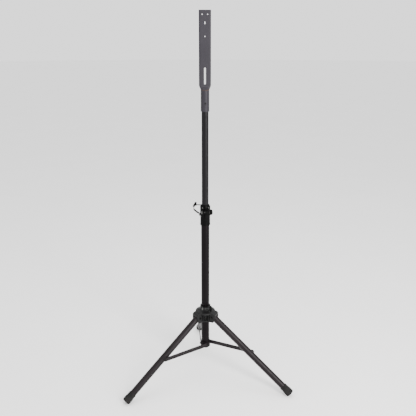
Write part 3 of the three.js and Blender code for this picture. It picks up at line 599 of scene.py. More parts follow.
def hex_bolt(head_r, head_thick, shank_r, shank_length, thread=10):
    """Along +Z from the head's outer face."""
    head = hexagon("bolt", head_r, 0, head_thick)
    end = head_thick + shank_length
    shank = turned("shank", [
        (0, head_thick - 0.5), (shank_r, head_thick - 0.5), (shank_r, end - thread),
        *threaded(shank_r, end - thread, end - 1), (shank_r - 1, end), (0, end)], 32)
    return join(head, shank)


def washer(inner, outer, thick):
    return turned("washer", filleted([(inner, 0), (outer, 0), (outer, thick), (inner, thick)],
                                     0.35, 3), 64)


def bolt_set(prefix, body, ear_left, ear_right, z):
    """A clamp's bolt and washer, across its ears along +X."""
    shank = ear_right - ear_left + BOLT_SPARE
    head = ear_left - BOLT_HEAD_THICK - GAP
    left = Matrix.Translation((head, -BOLT_FORWARD, z)) @ facing((1, 0, 0), 0.2)
    bolt = hex_bolt(BOLT_HEAD_R, BOLT_HEAD_THICK, BOLT_R, shank)
    settle(bolt, f"{prefix}_bolt", body, ZINC, left)
    right = Matrix.Translation((ear_right + GAP, -BOLT_FORWARD, z)) @ facing((1, 0, 0))
    ring = washer(BOLT_R + GAP, WASHER_R, WASHER_THICK)
    settle(ring, f"{prefix}_washer", body, DULL_ZINC, right)


# ---------------- head


def hole_cutter(radius, x, z):
    """A drill that leaves a small round edge on both faces of the head."""
    half = HEAD_DEPTH / 2
    wide = radius + HOLE_EDGE
    outline = [(0, -SOCKET_R), (wide, -SOCKET_R), (wide, -half), (radius, HOLE_EDGE - half),
               (radius, half - HOLE_EDGE), (wide, half), (wide, SOCKET_R), (0, SOCKET_R)]
    place = Matrix.Translation((x, 0, z)) @ Matrix.Rotation(math.pi / 2, 4, "X")
    return move(turned("drill", outline, 40), place)


def slot_cutter(width, low, high):
    """A cutter for a slot, with the same edges."""
    half = HEAD_DEPTH / 2
    edge = HOLE_EDGE
    rings = []
    for more, y in ((edge, -SOCKET_R), (edge, -half), (0, edge - half),
                    (0, half - edge), (edge, half), (edge, SOCKET_R)):
        outline = stadium(low - more, high + more, width / 2 + more, 16)
        rings.append([(x, y, z) for x, z in outline])
    return lofted("slot", rings)


def pressed_ring(inset, z, segments):
    """One ring of the head's tube, round below and flat above, lower at front and back."""
    ring = []
    for step in range(segments):
        share = step / segments
        turn = 2 * math.pi * share
        front = math.sin(turn) ** 2
        start = PRESS_START - 4 * front
        amount = smooth((z - start) / (PRESS_END - PRESS_START)) ** 0.8
        x = (SOCKET_R - inset) * math.cos(turn)
        y = (SOCKET_R - inset) * math.sin(turn)
        flat = bar_outline(share, HEAD_WIDTH - 2 * inset, HEAD_DEPTH - 2 * inset)
        ring.append((x + (flat[0] - x) * amount, y + (flat[1] - y) * amount, z))
    return ring


def mark_pressed(piece):
    """Marks how near each point is to the line where pressing begins, front and back."""
    marks = piece.data.attributes.new("pressed", "FLOAT", "POINT")
    for vertex, mark in zip(piece.data.vertices, marks.data):
        x, y, z = vertex.co
        line = PRESS_START - 1 + 5 * (x / SOCKET_R) ** 2
        near = max(0, 1 - abs(z - line) / 3.2)
        mark.value = near if abs(x) < SOCKET_R - 2 and abs(y) > 9 else 0.35 * near


def mounting_head():
    """A tube with rounded rims, pressed flat above its socket and then drilled."""
    bottom, top = HEAD_LOW.z, HEAD_HIGH.z
    rows = [(SOCKET_WALL, bottom + 0.5), (SOCKET_WALL - 0.5, bottom), (0.8, bottom),
            (0.25, bottom + 0.25), (0, bottom + 0.8), (0, PRESS_START - 8)]
    steps = 18
    press_low = PRESS_START - 6
    press_run = PRESS_END - PRESS_START + 6
    heights = [press_low + press_run * step / steps for step in range(steps + 1)]
    rows += [(0, height) for height in heights]
    rows += [(0, top - 0.8), (0.25, top - 0.25), (0.8, top), (SOCKET_WALL - 0.5, top),
             (SOCKET_WALL, top - 0.5)]
    rows += [(SOCKET_WALL, height) for height in reversed(heights)]
    segments = 144
    piece = lofted("head", [pressed_ring(inset, z, segments) for inset, z in rows], joined=True)
    slot_width, slot_low, slot_high = HEAD_SLOT
    long_width, long_low, long_high = HEAD_LONG_SLOT
    screw_z = bottom + SET_SCREW_RISE
    cut(
        piece,
        hole_cutter(HEAD_HOLE_R, -HEAD_PAIR_X, top - HEAD_PAIR_DROP),
        hole_cutter(HEAD_HOLE_R, HEAD_PAIR_X, top - HEAD_PAIR_DROP),
        slot_cutter(slot_width, top - slot_low, top - slot_high),
        hole_cutter(HEAD_HOLE_R, 0, top - HEAD_HOLE_DROP),
        slot_cutter(long_width, top - long_low, top - long_high),
        rod(SET_SCREW_R + GAP, (0, -SOCKET_R - 5, screw_z), (0, 0, screw_z)),
    )
    mark_pressed(piece)
    settle(piece, "mounting_head", "head", HEAD_COAT, angle=30, flat=True)


def set_screw():
    """A grub screw with a hexagon socket, along +Z from its sunk outer end."""
    length = SOCKET_R - SCREW_SUNK - POLE_R - GAP
    end_r = SET_SCREW_R - 0.8
    thread = threaded(SET_SCREW_R, 0.6, length - 0.4, 0.9)
    body = turned("screw", [(0, 0), (end_r, 0), *thread, (end_r, length), (0, length)], 40)
    cut(body, hexagon("socket", 2, -1, HEX_DEPTH, 0))
    outer = Matrix.Translation((0, -SOCKET_R + SCREW_SUNK, HEAD_LOW.z + SET_SCREW_RISE))
    settle(body, "set_screw", "head", BLACK_STEEL, outer @ facing((0, 1, 0)))


# ---------------- pole and column


def upper_pole():
    """The inner tube, with a row of holes for the locking pin."""
    piece = tube("pole", POLE_R, POLE_R - WALL, POLE_LOW.z, POLE_HIGH.z)
    out = Vector((math.cos(PIN_AZIMUTH), math.sin(PIN_AZIMUTH), 0))
    drills = []
    for index in PIN_HOLES:
        height = Vector((0, 0, PIN_Z + index * PIN_HOLE_PITCH))
        drills.append(rod(PIN_R + PIN_HOLE_SLACK, height, height + out * 30))
    cut(piece, *drills)
    settle(piece, "upper_pole", "pole", POLE_COAT, flat=True)


def pole_guide():
    """A sliding bush on the pole's lower end, with a spigot inside the pole."""
    outer = COLUMN_R - WALL - GAP
    spigot = POLE_R - WALL - GAP
    wall, reach = 2, 28
    low, end = span("pole_guide")[0].z, POLE_LOW.z - GAP
    outline = [(spigot - wall, low), (outer, low, 1.5), (outer, end), (spigot, end, 0.3),
               (spigot, end + reach), (spigot - wall, end + reach)]
    settle(turned("guide", filleted(outline, 0.5, 3)), "pole_guide", "pole", LINER)


def column():
    piece = tube("column", COLUMN_R, COLUMN_R - WALL, COLUMN_LOW.z, COLUMN_HIGH.z)
    settle(piece, "column", "column", COAT)


def column_plug():
    """A plug with a dished foot in the column's lower end."""
    spigot = COLUMN_R - WALL - GAP
    low, high = span("column_plug")
    end = COLUMN_LOW.z - GAP
    outline = filleted([(0, low.z + 2), (9, low.z + 2), (10, low.z), (COLUMN_R, low.z, 0.9),
                        (COLUMN_R, end, 0.2), (spigot, end, 0.2), (spigot, high.z), (0, high.z)],
                       0.6, 4, closed=False)
    settle(turned("plug", outline), "column_plug", "column", NYLON)


# ---------------- pole clamp

CLAMP_R = 26.5
CLAMP_SLEEVE_R = 25.5
CLAMP_STEP = CLAMP_LOW.z + 52
CLAMP_CONE = CLAMP_HIGH.z - 8
LINER_RIM = 5
CLAMP_EARS = (-17, 18)
CLAMP_EAR_R = 10
CLAMP_SLIT_X = -5
CLAMP_SLIT_DROP = 12
RIVET_TURN = math.radians(35)  # each side of the front
RIVET_Z = CLAMP_HIGH.z - 13.5
RIVET_R = 2.4
RIVET_SHANK = 5.4
RIVET_HEAD_R = 3.6
ANCHOR_Z = CLAMP_LOW.z + 51
ANCHOR_R = 2
ANCHOR_INNER = COLUMN_R + 1.7
KNOB_R = 16
KNOB_THICK = 15
KNOB_LOBES = 5
KNOB_WAIST = 0.12


def ears(left, right, radius, z):
    """Two ears across the front, joined to the wall behind them."""
    return [
        rod(radius, (left, -BOLT_FORWARD, z), (right, -BOLT_FORWARD, z), 48),
        block((left, -BOLT_FORWARD, z - radius), (right, -23, z + radius)),
    ]


def bolt_hole(z):
    return rod(BOLT_R + GAP, (-PAST, -BOLT_FORWARD, z), (PAST, -BOLT_FORWARD, z))


def radial(turn, radius, z):
    """A point at an angle from the front, anticlockwise from above."""
    return (math.sin(turn) * radius, -math.cos(turn) * radius, z)


def towards_pin(radius, z):
    """A point in the locking pin's direction."""
    return (math.cos(PIN_AZIMUTH) * radius, math.sin(PIN_AZIMUTH) * radius, z)


def clamp_housing():
    """A moulded sleeve on the column, with a split ring and two ears above."""
    bore = COLUMN_R + GAP
    neck = POLE_R + 2 * GAP
    rim = COLUMN_HIGH.z + LINER_RIM + GAP
    low, high = CLAMP_LOW.z, CLAMP_HIGH.z
    outline = [
        (bore, low), (CLAMP_SLEEVE_R + 1, low, 1.2), (CLAMP_SLEEVE_R + 1, low + 4),
        (CLAMP_SLEEVE_R, low + 7, 2), (CLAMP_SLEEVE_R, CLAMP_STEP - 3, 3), (CLAMP_R, CLAMP_STEP, 3),
        (CLAMP_R, CLAMP_CONE - 3, 2), (CLAMP_R - 1.5, CLAMP_CONE, 2), (POLE_R + 3, high, 1),
        (neck, high), (neck, rim), (bore, rim),
    ]
    body = turned("housing", filleted(outline, 0.5, 3))
    left, right = CLAMP_EARS
    join(body, *ears(left, right, CLAMP_EAR_R, CLAMP_BOLT_Z))
    slit = block((CLAMP_SLIT_X - SLIT_HALF, -PAST, CLAMP_STEP - CLAMP_SLIT_DROP),
                 (CLAMP_SLIT_X + SLIT_HALF, -COLUMN_R + 8, high + 1))
    out = 40
    rivets = [rod(RIVET_R + GAP, radial(turn, POLE_R + 2.5, RIVET_Z), radial(turn, out, RIVET_Z))
              for turn in (-RIVET_TURN, RIVET_TURN)]
    cut(
        body, slit, *rivets,
        bolt_hole(CLAMP_BOLT_Z),
        rod(PIN_R + GAP, towards_pin(0, PIN_Z), towards_pin(out, PIN_Z)),
        rod(ANCHOR_R + GAP, towards_pin(ANCHOR_INNER - GAP, ANCHOR_Z), towards_pin(out, ANCHOR_Z)),
    )
    settle(moulded(body, 0.7), "clamp_housing", "column", NYLON, angle=0)


def clamp_liner():
    """A bush in the column's mouth, with a rim over the column's end."""
    inner, outer = POLE_R + GAP, COLUMN_R - WALL - GAP
    low, high = span("clamp_liner")
    edge = COLUMN_HIGH.z + GAP
    outline = [(inner, low.z), (outer, low.z), (outer, edge, 0.2), (COLUMN_R - 0.5, edge),
               (COLUMN_R - 0.5, high.z), (inner, high.z)]
    settle(turned("liner", filleted(outline, 0.5, 3)), "clamp_liner", "column", LINER)


def clamp_rivets():
    """Two domed rivets in the ring, at either side of the front."""
    top = RIVET_SHANK + 2.2
    outline = filleted([(0, 0, 0), (RIVET_R, 0), (RIVET_R, RIVET_SHANK),
                        (RIVET_HEAD_R, RIVET_SHANK), (RIVET_HEAD_R, top - 1.5, 0.6),
                        (RIVET_HEAD_R - 1.3, top - 0.3, 1), (0, top, 0)], 0.3, 3, closed=False)
    for number, turn in ((1, -RIVET_TURN), (2, RIVET_TURN)):
        start = Matrix.Translation(radial(turn, POLE_R + 4.2, RIVET_Z))
        place = start @ facing(radial(turn, 1, 0))
        settle(turned("rivet", outline, 40), f"clamp_rivet_{number}", "column", ZINC, place)


def clamp_knob():
    """A lobed hand knob with a round hub and a domed, dished face."""
    thick = KNOB_THICK
    bore_r, bore_end = BOLT_R + GAP, thick * 0.7
    hub_r, lobe_run = 8, 6
    profile = filleted([
        (bore_r, bore_end), (bore_r, 0), (hub_r, 0), (hub_r + 0.6, 1.6), (13, 1.6),
        (KNOB_R - 0.2, 4, 2), (KNOB_R, 7, 3), (13.6, 11.8, 4), (8.6, thick, 2), (6.6, thick, 0.6),
        (6, thick - 0.9, 0.4), (0, thick - 0.6, 0)], 0.5, 4, closed=False)
    segments = 120
    rings = []
    for radius, height in [(0, bore_end), *profile]:
        if radius < 1e-6:
            rings.append([(0, 0, height)])
            continue
        waist = KNOB_WAIST * smooth((radius - hub_r) / lobe_run)
        ring = []
        for step in range(segments):
            turn = 2 * math.pi * step / segments
            reach = radius * (1 - waist * (1 - math.cos(KNOB_LOBES * turn)))
            ring.append((reach * math.cos(turn), reach * math.sin(turn), height))
        rings.append(ring)
    piece = lofted("knob", rings)
    right = span("clamp_knob")[0].x
    place = Matrix.Translation((right, -BOLT_FORWARD, CLAMP_BOLT_Z)) @ facing((1, 0, 0), 0.3)
    settle(piece, "clamp_knob", "clamp_knob", NYLON, place)


# ---------------- locking pin and lanyard

PIN_NOSE = POLE_R + 0.9  # drawn back just clear of the pole
PIN_HEAD = 49
PIN_IN_HANDLE = 4
HANDLE_LEAN = math.radians(30)
HANDLE_HALF = 16
HANDLE_R = 5.8
HANDLE_SLEEVE_R = 6
TAB_HALF = 2.6  # of the flattened end that holds the ring
TAB_TOP = 3.5  # above the ring's eye
RING_R = 6.5
RING_WIRE = 0.55
RING_EYE_R = 2
PIN_SIDE = Matrix.Rotation(PIN_AZIMUTH, 4, "Z") @ Matrix.Translation((0, 0, PIN_Z))
ANCHOR_DROP = ANCHOR_Z - PIN_Z
EYE_X = CLAMP_R + GAP
EYE_R = 5
EYE_THICK = 3
LUG_HALF = 3.3
LUG_HEIGHT = 9.5
CORD_END_R = 3.1
CORD_SWELL = 1.3  # how much thicker the cord is at its middle
FERRULE = 0.35
LOOP_R = 1.0


def handle_foot():
    """Where the ring's eye is in the handle, outwards and upwards from the pin's axis."""
    along = HANDLE_HALF - HANDLE_R
    return (PIN_HEAD + HANDLE_R + math.sin(HANDLE_LEAN) * along, -math.cos(HANDLE_LEAN) * along)


def locking_pin():
    """A round pin with a chamfered nose and one groove."""
    end = PIN_HEAD + PIN_IN_HANDLE
    groove, floor_r = 36, PIN_R - 0.5
    outline = filleted([(0, PIN_NOSE, 0), (PIN_R - 1, PIN_NOSE), (PIN_R, PIN_NOSE + 1.5),
                        (PIN_R, groove), (floor_r, groove + 0.6), (floor_r, groove + 2),
                        (PIN_R, groove + 2.6), (PIN_R, end), (0, end, 0)], 0.3, 3, closed=False)
    settle(turned("pin", outline, 48, "X"), "locking_pin", "pin", ZINC, PIN_SIDE)


def pin_handle():
    """A moulded grip across the pin, waisted in its middle."""
    half = HANDLE_HALF
    steps = 24
    outline = [(0, -half)]
    for step in range(1, steps):
        along = -half + 2 * half * step / steps
        past = max(0, abs(along) - (half - HANDLE_R)) / HANDLE_R
        cap = math.sqrt(max(0, 1 - past ** 2))
        waist = 1 - 0.06 * math.cos(math.pi * along / (2 * half)) ** 2
        outline.append((HANDLE_R * cap * waist, along))
    outline.append((0, half))
    middle_x = PIN_HEAD + HANDLE_R
    grip = turned("grip", outline, 48)
    move(grip, Matrix.Translation((middle_x, 0, 0)) @ Matrix.Rotation(-HANDLE_LEAN, 4, "Y"))
    join(grip, rod(HANDLE_SLEEVE_R, (PIN_HEAD - 3, 0, 0), (middle_x, 0, 0), 40))
    x, z = handle_foot()
    room = 20
    low, high = z - room, z + TAB_TOP
    cut(grip, rod(PIN_R + GAP, (0, 0, 0), (PIN_HEAD + PIN_IN_HANDLE + GAP, 0, 0)),
        rod(RING_EYE_R, (x, -10, z), (x, 10, z)),
        block((x - 12, -room, low), (x + room, -TAB_HALF, high)),
        block((x - 12, TAB_HALF, low), (x + room, room, high)))
    settle(moulded(grip, 0.35), "pin_handle", "pin", NYLON, PIN_SIDE, angle=0)


def swept(name, path, radii, sides=16):
    """A round cord along points, its radius given at each."""
    rings = []
    side = Vector((0, 1, 0))
    for index, point in enumerate(path):
        ahead = path[min(index + 1, len(path) - 1)] - path[max(index - 1, 0)]
        ahead.normalize()
        side = (side - ahead * side.dot(ahead)).normalized()
        up = ahead.cross(side)
        ring = []
        for step in range(sides):
            turn = 2 * math.pi * step / sides
            ring.append(point + (side * math.cos(turn) + up * math.sin(turn)) * radii[index])
        rings.append(ring)
    return lofted(name, rings)


def pin_ring():
    """A split ring of nearly two turns."""
    x, z = handle_foot()
    path = []
    steps = 96
    for step in range(steps + 1):
        share = step / steps
        turn = -2 + 3.75 * math.pi * step / steps
        across, up = RING_R * math.sin(turn), RING_R * math.cos(turn)
        path.append(Vector((x + 0.84 * share - 0.42, across, z - RING_R + up)))
    ring = swept("ring", path, [RING_WIRE] * len(path), 10)
    settle(ring, "pin_ring", "pin", ZINC, PIN_SIDE)


def curve_points(corners, steps):
    """Points along a smooth curve through corners."""
    padded = [corners[0] * 2 - corners[1], *corners, corners[-1] * 2 - corners[-2]]
    points = []
    for index in range(len(corners) - 1):
        p0, p1, p2, p3 = padded[index:index + 4]
        for step in range(steps):
            t = step / steps
            points.append(0.5 * (2 * p1 + (p2 - p0) * t + (2 * p0 - 5 * p1 + 4 * p2 - p3) * t * t
                                 + (3 * p1 - p0 - 3 * p2 + p3) * t ** 3))
    return points + [corners[-1]]


def collar_at(share, start, end):
    """How much a ferrule adds to the cord's radius, between two shares of its length."""
    return FERRULE * (smooth((share - start) / 0.03) - smooth((share - end) / 0.03))


def lanyard():
    """A rubber-coated lanyard, from its eye on the housing to a loop in the ring."""
    x, z = handle_foot()
    ring_foot = z - 2 * RING_R
    wall = EYE_X
    corners = [Vector(c) for c in (
        (wall + 2.9, 0, ANCHOR_DROP + 9), (wall + 8.7, 0, ANCHOR_DROP + 10.5),
        (wall + 16.7, 0, ANCHOR_DROP + 15.5), (x - 4.5, 0, ring_foot - 7.5),
        (x - 0.6, 0, ring_foot - 3.8))]
    path = curve_points(corners, 10)
    count = len(path) - 1
    radii = []
    for index in range(count + 1):
        share = index / count
        ferrule = collar_at(share, 0.86, 0.97) + collar_at(share, 0.1, 0.24)
        radii.append(CORD_END_R + CORD_SWELL * math.sin(math.pi * share) ** 0.7 + ferrule)
    cord = swept("lanyard", path, radii, 24)
    loop = []
    steps = 40
    for step in range(steps + 1):
        turn = 2 * math.pi * step / steps
        loop.append(Vector((x - 0.4 + 2.4 * math.sin(turn), 0.9 * math.sin(turn),
                            ring_foot - 0.6 - 3.1 * math.cos(turn))))
    outer = wall + EYE_THICK
    eye = rod(EYE_R, (wall, 0, ANCHOR_DROP), (outer, 0, ANCHOR_DROP), 48, 0.8)
    lug = block((wall, -LUG_HALF, ANCHOR_DROP), (outer, LUG_HALF, ANCHOR_DROP + LUG_HEIGHT))
    join(cord, swept("loop", loop, [LOOP_R] * len(loop), 12), eye, lug)
    cut(cord, rod(ANCHOR_R + GAP, (0, 0, ANCHOR_DROP), (wall + 2 * EYE_THICK, 0, ANCHOR_DROP)))
    piece = moulded(cord, 0.32, 3)
    settle(piece, "lanyard", None, RUBBER, PIN_SIDE, angle=0)
    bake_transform(piece)


def lanyard_screw():
    """A pan-head screw with a cross recess."""
    shank = EYE_X + EYE_THICK + GAP - ANCHOR_INNER
    top = shank + 2.6
    head_r = 4
    outline = filleted([(0, 0, 0), (ANCHOR_R, 0), (ANCHOR_R, shank), (head_r, shank),
                        (head_r, shank + 1.2, 1), (2.4, shank + 2.5, 1), (0, top, 0)],
                       0.3, 3, closed=False)
    screw = turned("screw", outline, 40, "X")
    sunk, half, arm = top - 1.3, 0.45, 2.2
    cut(screw, block((sunk, -arm, -half), (top + 1, arm, half)),
        block((sunk, -half, -arm), (top + 1, half, arm)))
    place = Matrix.Rotation(PIN_AZIMUTH, 4, "Z") @ Matrix.Translation((ANCHOR_INNER, 0, ANCHOR_Z))
    settle(screw, "lanyard_screw", "column", ZINC, place)


# ---------------- hub

HUB_SHOULDER = HUB_LOW.z + 63
HUB_FLANGE = HUB_SHOULDER - 13
HUB_SLEEVE_R = 28
HUB_BORE_R = 24
HUB_EAR_HALF = 16
HUB_EAR_R = 7.5
HUB_WALL_R = HUB_BORE_R + 2.2  # wall left between each leg and the column
LOBE_HALF = 24
LOBE_REACH = 67
LOBE_INNER = 20  # inside the sleeve's wall
LOBE_CHEEK = 18.4
RIB_LEAN = 16  # degrees each side of the middle between two legs
RIB_HALF = 1.6
RIB_REACH = 47
WING_REACH = 17
WING_TIP_R = 4.5
WING_ROOT = 7  # half the height at the middle
WING_HALF = 4.5  # half the wings' thickness
WING_MIDDLE = 8.5
WING_BOSS_R = 8
WING_BOSS_LENGTH = 14


def azimuth(index):
    """A leg's direction, from its pivot in the frame."""
    at = joint_at(f"leg_fold_{index + 1}")
    return math.atan2(at.y, at.x)


def about_pole(turn):
    """A turn about the pole's axis."""
    return Matrix.Rotation(turn, 4, "Z")


def lobe():
    """The two cheeks and roof that hold one leg, still solid."""
    low, top = HUB_LOW.z, HUB_SHOULDER
    outline = filleted([(LOBE_INNER, low), (LOBE_REACH - 11, low, 4), (LOBE_REACH, low + 14, 7),
                        (LOBE_REACH, HUB_FLANGE - 6, 5), (LOBE_REACH - 5, HUB_FLANGE, 5),
                        (HUB_SLEEVE_R, top), (LOBE_INNER, top)], 0, 5)
    return prism("lobe", outline, -LOBE_HALF, LOBE_HALF, 2.6)


def leg_sweep():
    """The room that a leg needs inside its lobe, from spread to folded."""
    reach = 200
    radius = math.hypot(LEG_R, LEG_HEAD) + 1
    upper = math.pi / 2 - LEG_DROP
    points = arc(LEG_PIVOT_R, LEG_PIVOT_Z, radius, upper, math.pi)
    points.append((LEG_PIVOT_R - radius, LEG_PIVOT_Z - reach))
    points.append((LEG_PIVOT_R + math.cos(upper) * radius + math.cos(LEG_DROP) * reach,
                   LEG_PIVOT_Z + math.sin(upper) * radius - math.sin(LEG_DROP) * reach))
    return prism("sweep", points, -LOBE_CHEEK, LOBE_CHEEK)


def hub():
    """A moulded sleeve with a clamp's ears, a flange, ribs and a lobe for each leg."""
    low, top = HUB_LOW.z, HUB_HIGH.z
    sleeve = HUB_SLEEVE_R
    inside = HUB_BORE_R - 2
    outline = [
        (inside, low), (sleeve + 9, low, 2), (sleeve + 10, low + 8, 3), (sleeve, low + 12, 3),
        (sleeve, HUB_FLANGE, 4), (50, HUB_FLANGE - 4, 2), (54, HUB_FLANGE + 1, 3),
        (52.5, HUB_FLANGE + 6, 3), (sleeve + 1, HUB_SHOULDER, 4), (sleeve, top - 0.5, 1),
        (inside, top),
    ]
    body = turned("hub", filleted(outline, 0.4, 3), 128)
    join(body, *ears(-HUB_EAR_HALF, HUB_EAR_HALF, HUB_EAR_R, HUB_BOLT_Z))
    for index in range(LEG_COUNT):
        join(body, move(lobe(), about_pole(azimuth(index))))
    for index in range(LEG_COUNT):
        turn = about_pole(azimuth(index))
        pivot = rod(LEG_BOLT_R + GAP, (LEG_PIVOT_R, -40, LEG_PIVOT_Z), (LEG_PIVOT_R, 40, LEG_PIVOT_Z))
        cut(body, move(leg_sweep(), turn), move(pivot, turn))
    ribs = []
    for index in range(LEG_COUNT):
        for lean in (-RIB_LEAN, RIB_LEAN):
            turn = about_pole(azimuth(index) + math.radians(60 + lean))
            rib = block((HUB_BORE_R, -RIB_HALF, low + 8), (RIB_REACH, RIB_HALF, HUB_FLANGE - 1))
            ribs.append(move(rib, turn))
    wall = tube("wall", HUB_WALL_R, inside, low, top)
    join(body, wall, *ribs)
    cut(
        body,
        rod(HUB_BORE_R, (0, 0, low - 5), (0, 0, top + 5), 96),
        block((-SLIT_HALF, -PAST, HUB_SHOULDER + 3), (SLIT_HALF, -HUB_BORE_R + 8, top + 1)),
        bolt_hole(HUB_BOLT_Z),
    )
    settle(moulded(body, 0.85), "hub", "hub", HUB_NYLON, angle=0)


def hub_liner():
    low, high = span("hub_liner")
    piece = tube("liner", HUB_BORE_R - GAP, COLUMN_R + GAP, low.z, high.z)
    settle(piece, "hub_liner", "hub", LINER)


def hub_knob():
    """A two-winged nut on the hub's clamp bolt."""
    tip, reach, end = WING_TIP_R, WING_REACH, WING_BOSS_LENGTH
    points = [*arc(0, reach - tip, tip, 0, math.pi), (-WING_ROOT, 0),
              *arc(0, tip - reach, tip, math.pi, 2 * math.pi), (WING_ROOT, 0)]
    wings = prism("wings", points, -WING_HALF, WING_HALF, 1.6)
    move(wings, Matrix.Translation((WING_MIDDLE, 0, 0)) @ Matrix.Rotation(math.pi / 2, 4, "Z"))
    outline = filleted([(0, 0, 0), (WING_BOSS_R, 0), (WING_BOSS_R - 1, end), (0, end, 0)],
                       1.2, 4, closed=False)
    boss = turned("boss", outline, 64, "X")
    join(boss, wings)
    cut(boss, rod(BOLT_R + GAP, (-1, 0, 0), (end - 3, 0, 0)))
    place = Matrix.Translation((span("hub_knob")[0].x, -BOLT_FORWARD, HUB_BOLT_Z))
    settle(moulded(boss, 0.45, 5), "hub_knob", "hub_knob", NYLON, place, angle=0)


# ---------------- legs, feet and struts


def leg(number, place):
    """A tube along +X from just behind its pivot to inside its foot."""
    end = LEG_LENGTH - FOOT_FLOOR - GAP
    piece = tube("leg", LEG_R, LEG_R - WALL, -LEG_HEAD, end, 96, "X")
    cut(piece, rod(LEG_BOLT_R + 0.4, (0, -30, 0), (0, 30, 0)))
    settle(piece, f"leg_{number}", f"leg_{number}", LEG_COAT, place, flat=True)


def foot(number, place):
    """A ribbed rubber boot, flat where it meets the floor."""
    end = LEG_LENGTH
    start = end - FOOT_LENGTH
    pitch, deep = 4.2, 0.9
    sleeve_r, groove_r = FOOT_SLEEVE_R, FOOT_SLEEVE_R - deep
    outline = [(LEG_R + GAP, start), (sleeve_r, start, 1.4), (sleeve_r, start + 3)]
    for rib in range(4):
        groove = start + 4 + rib * pitch
        outline += [(groove_r, groove + 0.6), (groove_r, groove + 1.8),
                    (sleeve_r, groove + 2.4), (sleeve_r, groove + 4)]
    outline += [(FOOT_R, start + 30, 4), (FOOT_R, end - 19.2), (FOOT_R - deep, end - 18.6),
                (FOOT_R - deep, end - 17.4), (FOOT_R, end - 16.8), (FOOT_R, end, 7.5), (0, end, 0)]
    inner = [(0, end - FOOT_FLOOR, 0), (LEG_R + GAP, end - FOOT_FLOOR, 0.5)]
    shape = filleted([*inner, *outline], 0.35, 3, closed=False)
    piece = turned("foot", shape, 96, "X")
    move(piece, place)
    cut(piece, block((-600, -600, -80), (600, 600, 0)))
    settle(piece, f"foot_{number}", f"leg_{number}", RUBBER, angle=32)


def strut_boss(number, place):
    """A boss on the leg's side for the strut's outer pivot."""
    x = LEG_LENGTH * STRUT_ON_LEG
    piece = rod(BOSS_R, (x, LEG_R - 6, 0), (x, STRUT_NEAR - GAP, 0), 64, 0.6)
    cut(piece, rod(LEG_R + GAP, (x - 30, 0, 0), (x + 30, 0, 0), 96))
    settle(piece, f"strut_boss_{number}", f"leg_{number}", LEG_COAT, place, flat=True)


def strut(number, place):
    """A flat bar with a pressed groove along its outer face."""
    end = STRUT_LENGTH
    near, far = STRUT_NEAR, STRUT_FAR
    rows = [(0.7, 0, near), (0.2, 0, near + 0.2), (0, 0, near + 0.7), (0, 0, far - 0.7),
            (0.2, 0, far - 0.2), (0.7, 0, far), (5, 13, far), (5.6, 14, far - 0.15),
            (6.6, 16, far - 1.0), (7.4, 17, far - 1.1)]
    rings = []
    for inset, shorter, y in rows:
        half = STRUT_R - inset
        root = inset + shorter - STRUT_END
        tip = end + STRUT_R - inset - shorter
        corner = max(STRUT_CORNER_R - inset, 1)
        outline = filleted([(root, half, corner), (root, -half, corner), (tip, -half, half),
                            (tip, half, half)], 1, 12)
        rings.append([(along, y, across) for along, across in outline])
    piece = lofted("strut", rings)
    cut(piece, *[rod(STRUT_PIN_R + GAP, (x, 0, 0), (x, 40, 0)) for x in (0, end)])
    settle(piece, f"strut_{number}", f"strut_{number}", LEG_COAT, place, flat=True)


def strut_rivet(number, place):
    """A domed rivet over a thin washer."""
    inner = STRUT_NEAR
    face = STRUT_FAR + GAP - inner
    outline = filleted([(0, 0, 0), (STRUT_PIN_R, 0), (STRUT_PIN_R, face), (STRUT_HEAD_R, face),
                        (STRUT_HEAD_R, face + 0.9), (5.6, face + 0.9), (5, face + 2.2, 1.5),
                        (0, face + 2.7, 0)], 0.35, 3, closed=False)
    at = place @ Matrix.Translation((STRUT_LENGTH, inner, 0)) @ facing((0, 1, 0))
    settle(turned("rivet", outline, 48), f"strut_rivet_{number}", f"strut_{number}",
           BLACK_STEEL, at)


def strut_screw(number, place):
    """A hexagonal screw from the strut's outer side to the column."""
    start = COLUMN_R + GAP
    face = STRUT_FAR + GAP - start
    head = hexagon("screw", STRUT_HEAD_R, face, face + 4.2)
    join(head, rod(STRUT_PIN_R, (0, 0, 0), (0, 0, face + 0.5), 40))
    at = place @ Matrix.Translation((0, start, 0)) @ facing((0, 1, 0), 0.4)
    settle(head, f"strut_screw_{number}", "column", BLACK_STEEL, at)


def leg_bolt(number, place):
    """The leg's pivot, across both cheeks of its lobe and past its nut."""
    under_head = LOBE_HALF + GAP
    bolt = hex_bolt(BOLT_HEAD_R, BOLT_HEAD_THICK, LEG_BOLT_R, under_head + LOBE_HALF + LEG_BOLT_SPARE)
    outer = under_head + BOLT_HEAD_THICK
    at = place @ Matrix.Translation((0, -outer, 0)) @ facing((0, 1, 0), 0.25)
    settle(bolt, f"leg_bolt_{number}", "hub", BLACK_STEEL, at)


def leg_nut(number, place):
    nut = hexagon("nut", BOLT_HEAD_R, 0, LEG_NUT_THICK)
    cut(nut, rod(LEG_BOLT_R + GAP, (0, 0, -1), (0, 0, 8)))
    at = place @ Matrix.Translation((0, LOBE_HALF + GAP, 0)) @ facing((0, 1, 0), 0.6)
    settle(nut, f"leg_nut_{number}", "hub", BLACK_STEEL, at)


COLLAR_R = 26
COLLAR_PAD_HALF = 12
COLLAR_SCREW_R = 2.6
COLLAR_SCREW_TURN = math.radians(-14)  # from the front, between two flats
COLLAR_SCREW_Z = COLLAR_HIGH.z - 4.4


